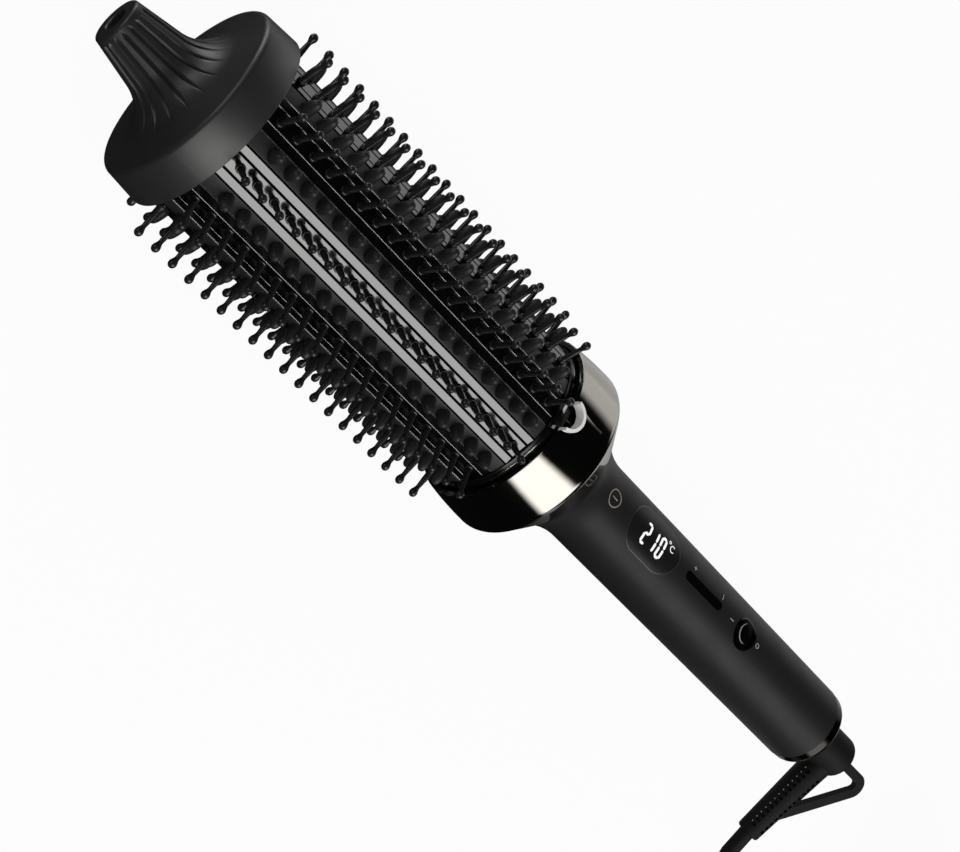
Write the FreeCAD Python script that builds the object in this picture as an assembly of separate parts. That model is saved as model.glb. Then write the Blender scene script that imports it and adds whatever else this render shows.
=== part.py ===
"""Heated round styling brush with an ion outlet, a cool tip, two handle rockers and a swivel cord.

Millimetres. X runs along the brush from the tip to the tail, +Z is the side of the handle that carries the
controls, and Z = 0 is the table under the lowest row of pins. A clock angle is measured about the X axis from
+Z towards -Y. Each sub-part is one file in parts/.
"""
import FreeCAD, Part
import math
import os

Vec = FreeCAD.Vector
X_AXIS = Vec(1, 0, 0)
Y_AXIS = Vec(0, 1, 0)
ORIGIN = Vec(0, 0, 0)
FAR = 60.0                # well beyond any section of the brush

# ---------------------------------------------------------------- lengths along the axis
NOSE_LENGTH = 24.6        # end of the nose to the front rim of the cool tip
CAP_RIM_LENGTH = 10.8     # side of the cool tip
HEAD_LENGTH = 117.1       # heated head between the cool tip and the flange
FLANGE_LENGTH = 2.7       # black flange between the head and the collar
COLLAR_LENGTH = 26.8
HANDLE_LENGTH = 134.3     # handle tube between the collar and the tail ring
TAIL_RING_LENGTH = 4.7
SWIVEL_GAP = 0.3          # running gap between the tail ring and the cord boot
BOOT_LENGTH = 18.7        # cord boot along the brush axis
LOOP_REACH = 17.3         # hanging loop beyond the cord boot

# ---------------------------------------------------------------- fits
FIT = 0.1                 # radial clearance of parts that slide together on assembly
RUNNING_FIT = 0.06        # radial clearance of small pivots

# ---------------------------------------------------------------- head
CARRIER_R = 22.6          # outside of the tube that carries plates and strips
CARRIER_WALL = 3.4
PLATE_THICK = 2.4         # plates and fin strips on the carrier
HEAD_OVERLAP = 2.0        # strips and plates start inside the rim of the cool tip
SECTORS = 5
SECTOR_STEP = 360.0 / SECTORS
SEAM = 0.2                # clock angle left open between neighbouring strips
PLATE_HALF_ANGLE = 12.3
PLATE_GROOVE_ANGLE = 6.0  # from the middle of a plate to each groove
PLATE_GROOVE_WIDTH = 0.4
PLATE_GROOVE_DEPTH = 0.5
CHANNEL_HALF_ANGLE = 12.6
CHANNEL_THICK = 2.1
RECESS_HALF_ANGLE = 6.0
RECESS_THICK = 1.0        # left under the floor of a channel

# ---------------------------------------------------------------- pins and fins
PIN_COUNT = 19
PIN_START = 4.5           # first pin behind the cool tip
PIN_END = 3.34            # last pin before the flange
PIN_REACH = 9.4           # pins above the plates; the lowest row sets the height of the axis
PIN_BALL_LENGTH = 2.6
PIN_BALL_WIDTH = 1.8
PIN_BELLY = 1.2           # widest part of the ball below its end
PIN_STEM_WIDTH = 1.0
PIN_FOOT_WIDTH = 1.7
PIN_END_WIDTH = 0.6
PIN_HOLE_CLEARANCE = 0.1
PIN_RAIL_WIDTH = 4.0
PIN_RAIL_THICK = 0.9
FIN_COUNT = 18
FIN_START = 8.2           # first fin behind the cool tip
FIN_REACH = 5.0
FIN_FOOT = (2.6, 4.4)     # along the brush, around the brush
FIN_TOP = (1.9, 2.0)
FIN_ANGLE = 18.0          # clock angle between a channel's middle and the fins beside it
ROOT_DEPTH = 0.3          # how far pins and fins grow out of their strip

# ---------------------------------------------------------------- cool tip
NOSE_R = 7.0
NOSE_EDGE = 1.2
NOSE_ROOT_R = 9.3
NOSE_CONE_LENGTH = 13.4
FLARE_R = 11.6            # radius of the concave flare behind the nose
FLARE_END_ANGLE = 80.0    # slope of the flare where it meets the front face
CAP_FRONT_PROUD = 2.6     # rim beyond the plates
CAP_REAR_PROUD = 3.3
CAP_EDGE = 1.5
CAP_REAR_EDGE = 0.5
CAP_WALL = 2.2
FLUTES = 20
FLUTE_HALF_WIDTH = 0.75
FLUTE_DEPTH = 0.5
FLUTE_START = 2.8         # from the end of the nose
FLUTE_END_ANGLE = 76.0
SCREW_RECESS_R = 3.1
SCREW_RECESS_DEPTH = 4.0
SCREW_R = 1.5
SCREW_HEAD_R = 2.7
SCREW_HEAD_LENGTH = 1.8
SCREW_DRIVE = (0.8, 4.0)  # width and length of each bar of the cross slot
SCREW_BOSS_WALL = 1.9
INSULATOR_FLANGE = 3.5
INSULATOR_PLUG = 6.0

# ---------------------------------------------------------------- heater
SPREADER_START = 8.0      # behind the front end of the carrier
SPREADER_END = 17.1       # before the flange
SPREADER_WALL = 2.5
HEATER_WIDTH = 22.0
HEATER_THICK = 5.0
HEATER_INSET = 4.0        # from the ends of the spreaders
FUSE_R = 2.0
FUSE_LENGTH = 12.0
THERMISTOR_SIZE = (6.0, 3.0, 2.0)
WIRES_R = 2.2
WIRE_BORE_R = 2.6

# ---------------------------------------------------------------- flange, collar and ion outlet
FLANGE_PROUD = 0.4        # beyond the plates
FLANGE_RING_PROUD = 0.3   # thin bright ring let into the flange
FLANGE_RING_WIDTH = 1.0
FLANGE_RING_AT = 1.6      # middle of the ring behind the head
FLANGE_RING_DEPTH = 1.0
FLANGE_SPIGOT = 4.0
FLANGE_LIP = 1.5          # rim of the flange inside the collar
FLANGE_CORE_R = 16.0
CENTRING_DISC = (6.0, 8.0)  # behind the collar's front edge
COLLAR_FRONT_PROUD = 3.1  # beyond the plates
COLLAR_SHOULDER_PROUD = 4.15
COLLAR_SHOULDER = 14.5    # front edge to the shoulder
COLLAR_BULGE = 0.24       # the collar's side is slightly rounded
COLLAR_TURN_R = 3.5       # round between the side and the rear cone
COLLAR_TURN_ANGLE = 45.0
COLLAR_WALL = 1.5
SPOUT_R = 4.9             # ion outlet, a notch in the collar's front edge
SPOUT_WALL = 1.0
SPOUT_DEPTH = 4.4         # front edge of the collar to the bottom of the notch
SPOUT_PROUD = 0.3         # the outlet's rim above the collar
HOOD_R = 12.0             # low hood behind the outlet
HOOD_LENGTH = 12.0
HOOD_FRONT_PROUD = 0.65   # above the collar's front edge
HOOD_REAR_PROUD = 1.25
EMITTER_R = 1.4
EMITTER_DROP = 3.2        # needle below the collar's outside
NEEDLE_LENGTH = 4.5
EMITTER_BASE = 1.0        # in front of the centring disc
NEEDLE_R = (0.2, 0.6)
ION_MODULE = (10.0, 16.0, 20.0)  # length, width, top above the axis

# ---------------------------------------------------------------- handle
HANDLE_R = 13.9
HANDLE_WALL = 1.8
HANDLE_FLARE_R = 23.0     # radius of the flare behind the collar
HANDLE_FLARE_LENGTH = 14.0
NECK_LENGTH = 12.0        # neck of the flange inside the handle
DISPLAY_AT = 32.4         # centre of the display behind the front end of the handle
DISPLAY_LENGTH = 23.7
DISPLAY_WIDTH = 14.4
DISPLAY_THICK = 1.1
DISPLAY_LEDGE = 2.5       # ledge the window rests on
DISPLAY_MODULE = (14.0, 7.0)
SLOT_AT = 58.4            # centre of the temperature rocker's slot
SLOT_LENGTH = 18.6
SLOT_WIDTH = 3.0
POWER_AT = 81.7           # centre of the power rocker
POWER_RECESS_R = 5.2
POWER_BEZEL_WALL = 0.8
POWER_CROWN = 3.0         # crown radius of the power rocker, in rocker radii
CONTROL_GAP = 0.25        # round a rocker
ROCKER_RISE = 0.4         # rocker top above the handle's surface
ROCKER_FOOT = 1.2         # rocker below its pivot
PIVOT_R = 0.6
TEMPERATURE_TILT = 2.5    # degrees each way
TEMPERATURE_PIVOT = 4.0   # pivot below the handle's surface
TEMPERATURE_HOLLOW = 0.35  # saddle between the raised ends
SWITCH_HALF = 2.0
SWITCH_FROM_END = 3.0
POST_GAP = 0.65
POST_SIZE = (2.8, 1.4)
POWER_PIVOT = 2.4         # pivot below the handle's surface
POWER_TILT = 7.0          # each way; it rests with the end nearer the collar up
POWER_DEPTH = 1.9         # rocker below its pivot
POWER_WELL = 1.0          # space under the power rocker
BOARD_START = 16.0        # behind the front end of the handle
BOARD_WIDTH = 15.0
BOARD_THICK = 1.6
BOARD_END = 8.3           # before the swivel socket
BOARD_Z = 2.5             # underside of the control board above the axis
CHASSIS_MARGIN = 4.0
CHASSIS_WALL = 1.7
CHASSIS_END = 2.0
CHASSIS_RIB = 2.0
CHASSIS_RIBS = (0.125, 0.5, 0.875)  # as fractions of the board's length

# ---------------------------------------------------------------- tail, swivel and boot
TAIL_RING_R = 13.7
TAIL_EDGE = 2.2
SOCKET_NOSE_R = 8.0
SOCKET_LENGTH = 14.0
SHAFT_R = 5.0
SHAFT_FIT = 0.08
SHAFT_PLAY = 0.3
SHAFT_FLANGE_R = 6.6
SHAFT_FLANGE_LENGTH = 1.6
SHAFT_POCKET_GAP = 0.4
SHAFT_IN_BOOT = 7.0
BOOT_R = 7.5
BOOT_EDGE = 2.0
SLEEVE_AT = 14.0          # sleeve centre line behind the boot's front face
SLEEVE_CLOCK = 117.9      # the sleeve hangs on this clock angle
SLEEVE_ROOT_R = 5.4
SLEEVE_END_R = 4.1
SLEEVE_LENGTH = 38.5      # from the brush axis
SLEEVE_EDGE = 1.0
FLEX_COUNT = 13           # pockets of the bend relief in each row
FLEX_START = 9.5
FLEX_PITCH = 2.05
FLEX_SIZE = (1.1, 1.4)
FLEX_DEPTH = 0.8
FLEX_ANGLES = (137.0, 76.0)  # rows round the sleeve, from the tail side
LOOP_BAND = 3.4
LOOP_THICK = 2.4
LOOP_ROOT = -0.2          # middle of the loop's straight arm beside the axis
LOOP_SLANT = 54.4         # angle between the loop's two arms
LOOP_BEND_R = 3.2

# ---------------------------------------------------------------- cord and plug
CORD_D = 5.4
CORD_BEND = 22.7          # radius of the cord's bends
CORD_FREE = 19.0          # straight run out of the sleeve
COIL_CENTRE = (267.0, -20.0)
COIL_R = 24.3             # middle of the turns
COIL_ROWS = 8
COIL_RINGS = 2
TIE_WIDTH = 10.0
TIE_THICK = 1.2
PLUG_BODY = (34.0, 30.0)  # length and width; it lies on the table
PLUG_SHOULDER = 0.35      # tapered share of the plug's length
PLUG_WAIST = 0.56         # width of its cord end, as a share of the full width
PLUG_NECK = 22.0
PLUG_NECK_R = (3.5, 5.0)
PLUG_PIN_R = 2.0
PLUG_PIN_LENGTH = 19.0
PLUG_PIN_SPACING = 18.6

# ---------------------------------------------------------------- stations
TOTAL_LENGTH = (NOSE_LENGTH + CAP_RIM_LENGTH + HEAD_LENGTH + FLANGE_LENGTH + COLLAR_LENGTH
                + HANDLE_LENGTH + TAIL_RING_LENGTH + SWIVEL_GAP + BOOT_LENGTH + LOOP_REACH)
nose_x = -TOTAL_LENGTH / 2
rim_x = nose_x + NOSE_LENGTH
head_x = rim_x + CAP_RIM_LENGTH
flange_x = head_x + HEAD_LENGTH
collar_x = flange_x + FLANGE_LENGTH
shoulder_x = collar_x + COLLAR_SHOULDER
handle_x = collar_x + COLLAR_LENGTH
tail_x = handle_x + HANDLE_LENGTH
tail_end_x = tail_x + TAIL_RING_LENGTH
boot_x = tail_end_x + SWIVEL_GAP
boot_end_x = boot_x + BOOT_LENGTH
loop_end_x = boot_end_x + LOOP_REACH
sleeve_x = boot_x + SLEEVE_AT
display_x = handle_x + DISPLAY_AT
slot_x = handle_x + SLOT_AT
power_x = handle_x + POWER_AT
board_x0 = handle_x + BOARD_START
socket_x = tail_x - SOCKET_LENGTH
board_x1 = socket_x - BOARD_END
strip_x = head_x - HEAD_OVERLAP
carrier_in_r = CARRIER_R - CARRIER_WALL
head_r = CARRIER_R + PLATE_THICK
channel_r = CARRIER_R + CHANNEL_THICK
recess_r = CARRIER_R + RECESS_THICK
pin_tip_r = head_r + PIN_REACH
fin_tip_r = head_r + FIN_REACH
axis_z = pin_tip_r
cap_front_r = head_r + CAP_FRONT_PROUD
cap_rear_r = head_r + CAP_REAR_PROUD
flange_r = head_r + FLANGE_PROUD
flange_ring_r = flange_r + FLANGE_RING_PROUD
collar_front_r = head_r + COLLAR_FRONT_PROUD
collar_shoulder_r = head_r + COLLAR_SHOULDER_PROUD
hood_front_r = collar_front_r + HOOD_FRONT_PROUD
hood_rear_r = collar_front_r + HOOD_REAR_PROUD
handle_in_r = HANDLE_R - HANDLE_WALL
inside_r = handle_in_r - FIT
board_top = BOARD_Z + BOARD_THICK
pin_pitch = (HEAD_LENGTH - PIN_START - PIN_END) / (PIN_COUNT - 1)

os.makedirs("parts", exist_ok=True)


# ---------------------------------------------------------------- helpers
def save(name, shape, height=axis_z):
    """Write one sub-part; the brush is modelled about the X axis and lifted to its height."""
    shape = shape.copy()
    shape.translate(Vec(0, 0, height))
    if not shape.isValid() or shape.Volume <= 0:
        raise ValueError(name + " is not a sound solid")
    shape.exportStep("parts/" + name + ".step")


def turned(points):
    """Solid of revolution about X from (x, r) points; a triple (x, r, (mx, mr)) is an arc through mx, mr."""
    edges = []
    for here, there in zip(points, points[1:] + points[:1]):
        start = Vec(here[0], 0, here[1])
        end = Vec(there[0], 0, there[1])
        if len(there) == 3:
            middle = Vec(there[2][0], 0, there[2][1])
            edges.append(Part.Arc(start, middle, end).toShape())
        else:
            edges.append(Part.makeLine(start, end))
    return Part.Face(Part.Wire(edges)).revolve(ORIGIN, X_AXIS, 360)


def rounded(x, r, radius):
    """Middle of a quarter round that turns from the side at (x - radius, r) to the end at (x, r - radius)."""
    corner = radius * (1 - math.sqrt(0.5))
    return (x - corner, r - corner)


def rod(x0, x1, radius, y=0.0, z=0.0):
    return Part.makeCylinder(radius, x1 - x0, Vec(x0, y, z), X_AXIS)


def tube(x0, x1, outer, inner):
    return rod(x0, x1, outer).cut(rod(x0, x1, inner))


def cross_pin(x, z, radius, half):
    return Part.makeCylinder(radius, 2 * half, Vec(x, -half, z), Y_AXIS)


def block(x0, x1, y0, y1, z0, z1):
    return Part.makeBox(x1 - x0, y1 - y0, z1 - z0, Vec(x0, y0, z0))


def clocked(shape, angle):
    """Turn a shape drawn at +Z to its clock angle."""
    shape = shape.copy()
    shape.rotate(ORIGIN, X_AXIS, angle)
    return shape


def ring_sector(x0, x1, r0, r1, half_angle, flat_top=False):
    """Piece of a tube centred on +Z; a narrow one may have a flat outside."""
    a = math.radians(half_angle)

    def at(r, t):
        return Vec(x0, r * math.sin(t), r * math.cos(t))

    outside = Part.makeLine(at(r1, -a), at(r1, a))
    if not flat_top:
        outside = Part.Arc(at(r1, -a), at(r1, 0), at(r1, a)).toShape()
    wire = Part.Wire([
        outside,
        Part.makeLine(at(r1, a), at(r0, a)),
        Part.Arc(at(r0, a), at(r0, 0), at(r0, -a)).toShape(),
        Part.makeLine(at(r0, -a), at(r1, -a))])
    return Part.Face(wire).extrude(Vec(x1 - x0, 0, 0))


def flat_face(corners):
    return Part.Face(Part.makePolygon(corners + corners[:1]))


def stacked(x, outline, levels):
    """Flat-faced solid on Z through (z, along, around) levels."""
    rings = []
    for z, along, around in levels:
        rings.append([Vec(x + px, py, z) for px, py in outline(along, around)])
    faces = [flat_face(rings[0]), flat_face(rings[-1])]
    for low, high in zip(rings, rings[1:]):
        for k in range(len(low)):
            faces.append(flat_face([low[k - 1], low[k], high[k], high[k - 1]]))
    return Part.Solid(Part.Shell(faces))


def diamond(along, around):
    return [(along / 2, 0), (0, around / 2), (-along / 2, 0), (0, -around / 2)]


def leaf(along, around):
    """Bar across the brush with right-angled points at both ends."""
    flank = (around - along) / 2
    return [(along / 2, -flank), (along / 2, flank), (0, around / 2),
            (-along / 2, flank), (-along / 2, -flank), (0, -around / 2)]


def stadium(x, length, width, z0, z1):
    """Round-ended block standing on Z."""
    r = width / 2
    half = length / 2 - r
    middle = block(x - half, x + half, -r, r, z0, z1)
    ends = [Part.makeCylinder(r, z1 - z0, Vec(x + side * half, 0, z0)) for side in (-1, 1)]
    return joined([middle] + ends)


def joined(shapes):
    """One solid from overlapping ones."""
    return shapes[0].multiFuse(shapes[1:]).removeSplitter()


# ---------------------------------------------------------------- cool tip
cone_x = nose_x + NOSE_EDGE
flare_x = nose_x + NOSE_CONE_LENGTH
cone_angle = math.degrees(math.atan2(NOSE_ROOT_R - NOSE_R, flare_x - cone_x))
slope = math.radians(cone_angle)
cone_out = Vec(-math.sin(slope), 0, math.cos(slope))
flare_root = Vec(flare_x, 0, NOSE_ROOT_R)


def on_flare(radius, angle):
    """Point with this slope on an arc that leaves the nose's root tangentially."""
    t = math.radians(angle)
    return flare_root + cone_out * radius + Vec(math.sin(t), 0, -math.cos(t)) * radius


def make_flute():
    """V-shaped cutter that follows the cone and then lifts out of the flare."""
    along = Vec(math.cos(slope), 0, math.sin(slope))
    start = flare_root - along * (NOSE_CONE_LENGTH - FLUTE_START)
    pivot = flare_root + cone_out * (FLARE_R - 2 * FLUTE_DEPTH)
    wide = Vec(0, 2 * FLUTE_HALF_WIDTH, 0)

    def section(middle):
        top = middle + cone_out * FLUTE_DEPTH
        return flat_face([middle - cone_out * FLUTE_DEPTH, top + wide, top - wide])

    run = section(start).extrude(flare_root - start)
    lift = section(flare_root).revolve(pivot, -Y_AXIS, FLUTE_END_ANGLE - cone_angle)
    return joined([run, lift])


def make_tip_cap():
    bend = on_flare(FLARE_R, (cone_angle + FLARE_END_ANGLE) / 2)
    flare_end = on_flare(FLARE_R, FLARE_END_ANGLE)
    face_end_r = cap_front_r - CAP_EDGE
    face_x = flare_end.x + (face_end_r - flare_end.z) / math.tan(math.radians(FLARE_END_ANGLE))
    corner = CAP_EDGE * (1 - math.sqrt(0.5))
    floor_x = face_x + CAP_WALL
    seat_x = nose_x + SCREW_RECESS_DEPTH
    boss_x = head_x - INSULATOR_FLANGE
    boss_r = SCREW_R + FIT + SCREW_BOSS_WALL
    hollow_r = cap_front_r - CAP_WALL
    body = turned([
        (seat_x, SCREW_R + FIT),
        (seat_x, SCREW_RECESS_R),
        (nose_x, SCREW_RECESS_R),
        (nose_x, NOSE_R - NOSE_EDGE),
        (cone_x, NOSE_R),
        (flare_x, NOSE_ROOT_R),
        (flare_end.x, flare_end.z, (bend.x, bend.z)),
        (face_x, face_end_r),
        (face_x + CAP_EDGE, cap_front_r, (face_x + corner, cap_front_r - corner)),
        (head_x - CAP_REAR_EDGE, cap_rear_r),
        (head_x, cap_rear_r - CAP_REAR_EDGE),
        (head_x, hollow_r),
        (floor_x, hollow_r),
        (floor_x, boss_r),
        (boss_x, boss_r),
        (boss_x, SCREW_R + FIT)])
    return body.cut([clocked(make_flute(), 360.0 * k / FLUTES) for k in range(FLUTES)])


def make_tip_insulator():
    """Plug that closes the carrier and takes the cool tip's screw."""
    flange = rod(head_x - INSULATOR_FLANGE, head_x, CARRIER_R - FIT)
    plug = rod(head_x, head_x + INSULATOR_PLUG, carrier_in_r - FIT)
    return joined([flange, plug]).cut(rod(head_x - FAR, head_x + FAR, SCREW_R))


def make_tip_screw():
    seat_x = nose_x + SCREW_RECESS_DEPTH
    head_end = seat_x - SCREW_HEAD_LENGTH
    head = rod(head_end, seat_x, SCREW_HEAD_R)
    shank = rod(seat_x, head_x + INSULATOR_PLUG, SCREW_R)
    width, length = SCREW_DRIVE
    slot = block(head_end, seat_x - SCREW_HEAD_LENGTH / 2, -width / 2, width / 2, -length / 2, length / 2)
    return joined([head, shank]).cut([slot, clocked(slot, 90)])


# ---------------------------------------------------------------- heated head
def pin_x(k):
    return head_x + PIN_START + pin_pitch * k


def ball_pin(x, foot_r):
    """Slim pin with a ball end."""
    return stacked(x, diamond, [
        (foot_r, PIN_FOOT_WIDTH, PIN_FOOT_WIDTH),
        (pin_tip_r - PIN_BALL_LENGTH, PIN_STEM_WIDTH, PIN_STEM_WIDTH),
        (pin_tip_r - PIN_BELLY, PIN_BALL_WIDTH, PIN_BALL_WIDTH),
        (pin_tip_r, PIN_END_WIDTH, PIN_END_WIDTH)])


rail_bottom = CARRIER_R - FIT - PIN_RAIL_THICK


def make_carrier():
    """Tube with a flat-bottomed groove for the pin rail under each plate."""
    body = tube(head_x, flange_x, CARRIER_R, carrier_in_r)
    half = PIN_RAIL_WIDTH / 2 + FIT
    groove = block(head_x, flange_x, -half, half, rail_bottom, FAR)
    return body.cut([clocked(groove, (i + 0.5) * SECTOR_STEP) for i in range(SECTORS)])


def make_plate():
    """Polished plate with a flat middle land and a hole for every pin."""
    body = ring_sector(strip_x, flange_x, CARRIER_R, head_r, PLATE_HALF_ANGLE - SEAM / 2)
    half = PLATE_GROOVE_WIDTH / 2
    groove_at = math.radians(PLATE_GROOVE_ANGLE)
    land_half = head_r * math.sin(groove_at)
    land = block(strip_x, flange_x, -land_half, land_half, head_r * math.cos(groove_at), FAR)
    seat = block(strip_x, flange_x, -PIN_RAIL_WIDTH / 2, PIN_RAIL_WIDTH / 2, 0, CARRIER_R)
    groove = block(strip_x, flange_x, -half, half, head_r - PLATE_GROOVE_DEPTH, FAR)
    width = PIN_FOOT_WIDTH + 2 * PIN_HOLE_CLEARANCE
    cuts = [land, seat, clocked(groove, PLATE_GROOVE_ANGLE), clocked(groove, -PLATE_GROOVE_ANGLE)]
    for k in range(PIN_COUNT):
        cuts.append(stacked(pin_x(k), diamond, [(rail_bottom, width, width), (FAR, width, width)]))
    return body.cut(cuts)


def make_pin_strip():
    """Rail under a plate, with the row of pins that stands out through the plate."""
    half = PIN_RAIL_WIDTH / 2
    top = rail_bottom + PIN_RAIL_THICK
    rail = block(head_x, flange_x, -half, half, rail_bottom, top)
    return joined([rail] + [ball_pin(pin_x(k), top - ROOT_DEPTH) for k in range(PIN_COUNT)])


def make_channel_strip():
    """Black strip with a sunken channel and a row of pins standing in it."""
    body = ring_sector(strip_x, flange_x, CARRIER_R, channel_r, CHANNEL_HALF_ANGLE - SEAM / 2)
    half = recess_r * math.sin(math.radians(RECESS_HALF_ANGLE))
    recess = block(strip_x, flange_x, -half, half, recess_r, FAR)
    return joined([body.cut(recess)] + [ball_pin(pin_x(k), recess_r - ROOT_DEPTH) for k in range(PIN_COUNT)])


def make_fin_strip():
    """Strip between a channel and a plate, with one row of blunt fins."""
    first = CHANNEL_HALF_ANGLE + SEAM / 2
    last = SECTOR_STEP / 2 - PLATE_HALF_ANGLE - SEAM / 2
    middle = (first + last) / 2
    strip = [ring_sector(strip_x, flange_x, CARRIER_R, head_r, (last - first) / 2, True)]
    for k in range(FIN_COUNT):
        x = head_x + FIN_START + pin_pitch * k
        fin = stacked(x, leaf, [(head_r - ROOT_DEPTH, *FIN_FOOT), (fin_tip_r, *FIN_TOP)])
        strip.append(clocked(fin, FIN_ANGLE - middle))
    return clocked(joined(strip), middle)


# ---------------------------------------------------------------- heater inside the carrier
spreader_x0 = head_x + SPREADER_START
spreader_x1 = flange_x - SPREADER_END
heater_x0 = spreader_x0 + HEATER_INSET
heater_x1 = spreader_x1 - HEATER_INSET


def make_spreader():
    """Hollow half-round bar that presses the heater against the carrier."""
    def half_round(radius, base_z):
        below = block(spreader_x0, spreader_x1, -FAR, FAR, -FAR, base_z)
        return rod(spreader_x0, spreader_x1, radius).cut(below)

    base = HEATER_THICK / 2
    return half_round(carrier_in_r, base).cut(half_round(carrier_in_r - SPREADER_WALL, base + SPREADER_WALL))


def make_heater():
    half_width = HEATER_WIDTH / 2
    half_thick = HEATER_THICK / 2
    return block(heater_x0, heater_x1, -half_width, half_width, -half_thick, half_thick)


def make_thermal_fuse():
    return rod(heater_x1 - FUSE_LENGTH, heater_x1, FUSE_R, HEATER_WIDTH / 2 + FUSE_R)


def make_thermistor():
    length, width, height = THERMISTOR_SIZE
    side = -HEATER_WIDTH / 2
    bottom = -HEATER_THICK / 2
    return block(heater_x1 - length, heater_x1, side - width, side, bottom, bottom + height)


def make_wires():
    """Mains wires from the heater to the swivel."""
    return rod(heater_x1, socket_x, WIRES_R)


# ---------------------------------------------------------------- flange, collar and ion outlet
ring_x0 = flange_x + FLANGE_RING_AT - FLANGE_RING_WIDTH / 2
ring_x1 = ring_x0 + FLANGE_RING_WIDTH
ring_seat_r = flange_r - FLANGE_RING_DEPTH
collar_in_r = collar_front_r - COLLAR_WALL
emitter_z = collar_front_r - EMITTER_DROP
disc_x0 = collar_x + CENTRING_DISC[0]
disc_x1 = collar_x + CENTRING_DISC[1]
module_x1 = disc_x1 + ION_MODULE[0]


def make_flange():
    """Heat-resistant flange: closes the head, centres the collar and plugs into the handle."""
    lip_x = collar_x + FLANGE_LIP
    neck_x = handle_x + NECK_LENGTH
    body = turned([
        (flange_x - FLANGE_SPIGOT, WIRE_BORE_R),
        (flange_x - FLANGE_SPIGOT, carrier_in_r - FIT),
        (flange_x, carrier_in_r - FIT),
        (flange_x, flange_r),
        (ring_x0, flange_r),
        (ring_x0, ring_seat_r),
        (ring_x1, ring_seat_r),
        (ring_x1, flange_r),
        (lip_x, flange_r),
        (lip_x, FLANGE_CORE_R),
        (disc_x0, FLANGE_CORE_R),
        (disc_x0, collar_in_r),
        (disc_x1, collar_in_r),
        (disc_x1, inside_r),
        (neck_x, inside_r),
        (neck_x, WIRE_BORE_R)])
    return body.cut(rod(disc_x0, disc_x1, EMITTER_R, 0, emitter_z))


def make_flange_ring():
    return tube(ring_x0, ring_x1, flange_ring_r, ring_seat_r)


def flare_r(x):
    """Outside of the handle at this distance behind the collar."""
    return HANDLE_R + HANDLE_FLARE_R - math.sqrt(HANDLE_FLARE_R ** 2 - (HANDLE_FLARE_LENGTH - x) ** 2)


def spout_tool(radius):
    """Upright cylinder that notches the collar's front edge."""
    return Part.makeCylinder(radius, FAR, Vec(collar_x + SPOUT_DEPTH - SPOUT_R, 0, flange_r))


def make_collar():
    a = math.radians(COLLAR_TURN_ANGLE)
    turn_z = collar_shoulder_r - COLLAR_TURN_R

    def on_turn(angle):
        return (shoulder_x + COLLAR_TURN_R * math.sin(angle), turn_z + COLLAR_TURN_R * math.cos(angle))

    side_middle = ((collar_x + shoulder_x) / 2, (collar_front_r + collar_shoulder_r) / 2 + COLLAR_BULGE)
    rear_r = flare_r(0)
    outside = [
        (collar_x, 0),
        (collar_x, collar_front_r),
        (shoulder_x, collar_shoulder_r, side_middle),
        (*on_turn(a), on_turn(a / 2)),
        (handle_x, rear_r),
        (handle_x, 0)]
    shell = turned(outside)
    # the hood is a shallow roll of metal behind the outlet
    rise = (hood_rear_r - hood_front_r) / HOOD_LENGTH
    hood = Part.makeCylinder(HOOD_R, HOOD_LENGTH, Vec(collar_x, 0, hood_front_r - HOOD_R), Vec(1, 0, rise))
    shell = joined([shell, hood]).common(block(collar_x, handle_x, -FAR, FAR, -FAR, FAR))
    hollow = turned([
        (collar_x, 0),
        (collar_x, collar_in_r),
        (disc_x1, collar_in_r),
        (shoulder_x, collar_shoulder_r - COLLAR_WALL),
        (handle_x, rear_r - COLLAR_WALL / math.cos(a)),
        (handle_x, 0)])
    return shell.cut([hollow, spout_tool(SPOUT_R)])


def make_ion_outlet():
    """Rim of the ion outlet, seated in the collar's notch."""
    skin = tube(collar_x, shoulder_x, hood_rear_r + SPOUT_PROUD, collar_in_r)
    return spout_tool(SPOUT_R).common(skin).cut(spout_tool(SPOUT_R - SPOUT_WALL))


def make_ion_emitter():
    """Discharge needle that stands in the outlet."""
    base = rod(disc_x0 - EMITTER_BASE, disc_x1, EMITTER_R, 0, emitter_z)
    needle = Part.makeCone(*NEEDLE_R, NEEDLE_LENGTH, Vec(disc_x0 - NEEDLE_LENGTH, 0, emitter_z), X_AXIS)
    return joined([base, needle])


def make_ion_module():
    """High-voltage block inside the collar, seated on the flange's neck."""
    half = ION_MODULE[1] / 2
    return block(disc_x1, module_x1, -half, half, 0, ION_MODULE[2]).cut(rod(disc_x1, module_x1, inside_r))


# ---------------------------------------------------------------- handle
def make_handle():
    bend = HANDLE_FLARE_LENGTH / 2
    body = turned([
        (handle_x, handle_in_r),
        (handle_x, flare_r(0)),
        (handle_x + HANDLE_FLARE_LENGTH, HANDLE_R, (handle_x + bend, flare_r(bend))),
        (tail_x, HANDLE_R),
        (tail_x, handle_in_r)])
    window = stadium(display_x, DISPLAY_LENGTH, DISPLAY_WIDTH, 0, FAR)
    ledge = 2 * DISPLAY_LEDGE
    return body.cut([
        window.cut(rod(handle_x, tail_x, HANDLE_R - DISPLAY_THICK)),
        stadium(display_x, DISPLAY_LENGTH - ledge, DISPLAY_WIDTH - ledge, 0, FAR),
        stadium(slot_x, SLOT_LENGTH, SLOT_WIDTH, 0, FAR),
        Part.makeCylinder(POWER_RECESS_R, FAR, Vec(power_x, 0, 0))])


def make_display_window():
    """Dark pill-shaped window flush with the handle."""
    outline = stadium(display_x, DISPLAY_LENGTH - 2 * FIT, DISPLAY_WIDTH - 2 * FIT, 0, FAR)
    return outline.common(tube(handle_x, tail_x, HANDLE_R, HANDLE_R - DISPLAY_THICK))


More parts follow.
